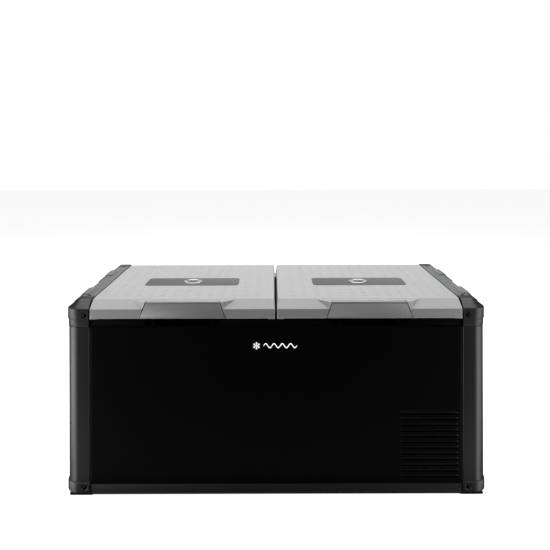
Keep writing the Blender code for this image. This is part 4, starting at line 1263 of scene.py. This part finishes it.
# ---------------------------------------------------------------- assembly
def plain_nodes():
    """The hidden nodes keep their own mesh and take a finished material."""
    for node in ("insulation", "evaporator_left", "evaporator_right"):
        data = frame["nodes"][node].data
        data.materials.clear()
        data.materials.append(FINISH[SLOT[node]])


def build():
    base_tray()
    for side_name in SIDES:
        for end_name in ENDS:
            corner_post(side_name, end_name)
            bottom_cap(side_name, end_name)
            top_cap(side_name, end_name)
            handle_bracket(side_name, end_name)
        lid_shell(side_name)
        badge_plate(side_name)
        medallion_flake(side_name)
        lid_inside(side_name)
        latch_lever(side_name)
        hinges(side_name)
        handle(side_name)
    front_and_rear_panels()
    side_panels()
    front_mark()
    top_frame()
    side_rails()
    liners()
    compressor_bay()
    control_panel()
    plain_nodes()


# ---------------------------------------------------------------- studio
def studio():
    """A white floor and surround, and soft boxes overhead, beside, in front of and behind the cooler."""
    floor = block("floor", (-9, -9, -0.0202), (9, 9, -0.0002))
    material, _, shader = start_material("matt_white_paper", "f4f4f4", 0.9)
    shader.inputs["Emission Color"].default_value = linear("ffffff")
    shader.inputs["Emission Strength"].default_value = 0.94
    floor.data.materials.append(material)
    floor.visible_diffuse = False
    floor.visible_glossy = False
    floor.visible_shadow = False

    world = bpy.data.worlds.new("white_surround")
    bpy.context.scene.world = world
    world.use_nodes = True
    world.node_tree.nodes["Background"].inputs["Color"].default_value = (1, 1, 1, 1)
    world.node_tree.nodes["Background"].inputs["Strength"].default_value = 1.0
    world.cycles_visibility.diffuse = False
    world.cycles_visibility.glossy = False

    # Name, place, target, width, height and radiance, where 1.0 is the brightness of the white surround.
    boxes = (("overhead", (0.0, 0.42, 2.3), (0, 0.05, 0.3), 2.6, 2.0, 2.9),
             ("left_wall", (-1.5, -0.36, 0.35), (0, -0.36, 0.35), 0.7, 1.4, 3.0),
             ("right_wall", (1.5, -0.36, 0.35), (0, -0.36, 0.35), 0.7, 1.4, 1.5),
             ("left_near", (-1.0, -0.60, 0.20), (-0.35, -0.1, 0.20), 0.30, 1.5, 2.6),
             ("right_near", (1.0, -0.60, 0.20), (0.35, -0.1, 0.20), 0.30, 1.5, 2.3),
             ("front_fill", (0.0, -2.6, 0.9), (0, 0, 0.3), 1.8, 0.8, 0.22),
             ("front_floor", (0.0, -0.42, 0.012), (0.0, -0.42, 1.0), 1.9, 0.30, 0.20),
             ("back_wall", (0.0, 2.6, 0.9), (0.0, 0.0, 0.9), 2.4, 2.2, 0.8))
    for name, place, target, wide, tall, radiance in boxes:
        light = bpy.data.lights.new(name, "AREA")
        light.shape = "RECTANGLE"
        light.size, light.size_y = wide, tall
        light.energy = radiance * math.pi * wide * tall
        holder = bpy.data.objects.new(name, light)
        holder.location = place
        holder.rotation_mode = "QUATERNION"
        holder.rotation_quaternion = (Vector(target) - Vector(place)).to_track_quat("-Z", "Y")
        holder.visible_camera = False
        bpy.context.scene.collection.objects.link(holder)
    bpy.context.scene.view_settings.view_transform = "Standard"


def camera():
    lens = bpy.data.cameras.new("camera")
    lens.lens = 43.7
    lens.sensor_width = 36
    lens.shift_x = 0.004
    lens.shift_y = -0.242
    lens.clip_end = 50
    holder = bpy.data.objects.new("camera", lens)
    holder.location = (-0.006, -1.6785, 0.766)
    holder.rotation_euler = (math.radians(90), math.radians(0.15), 0)
    bpy.context.scene.collection.objects.link(holder)
    bpy.context.scene.camera = holder


build()
studio()
camera()
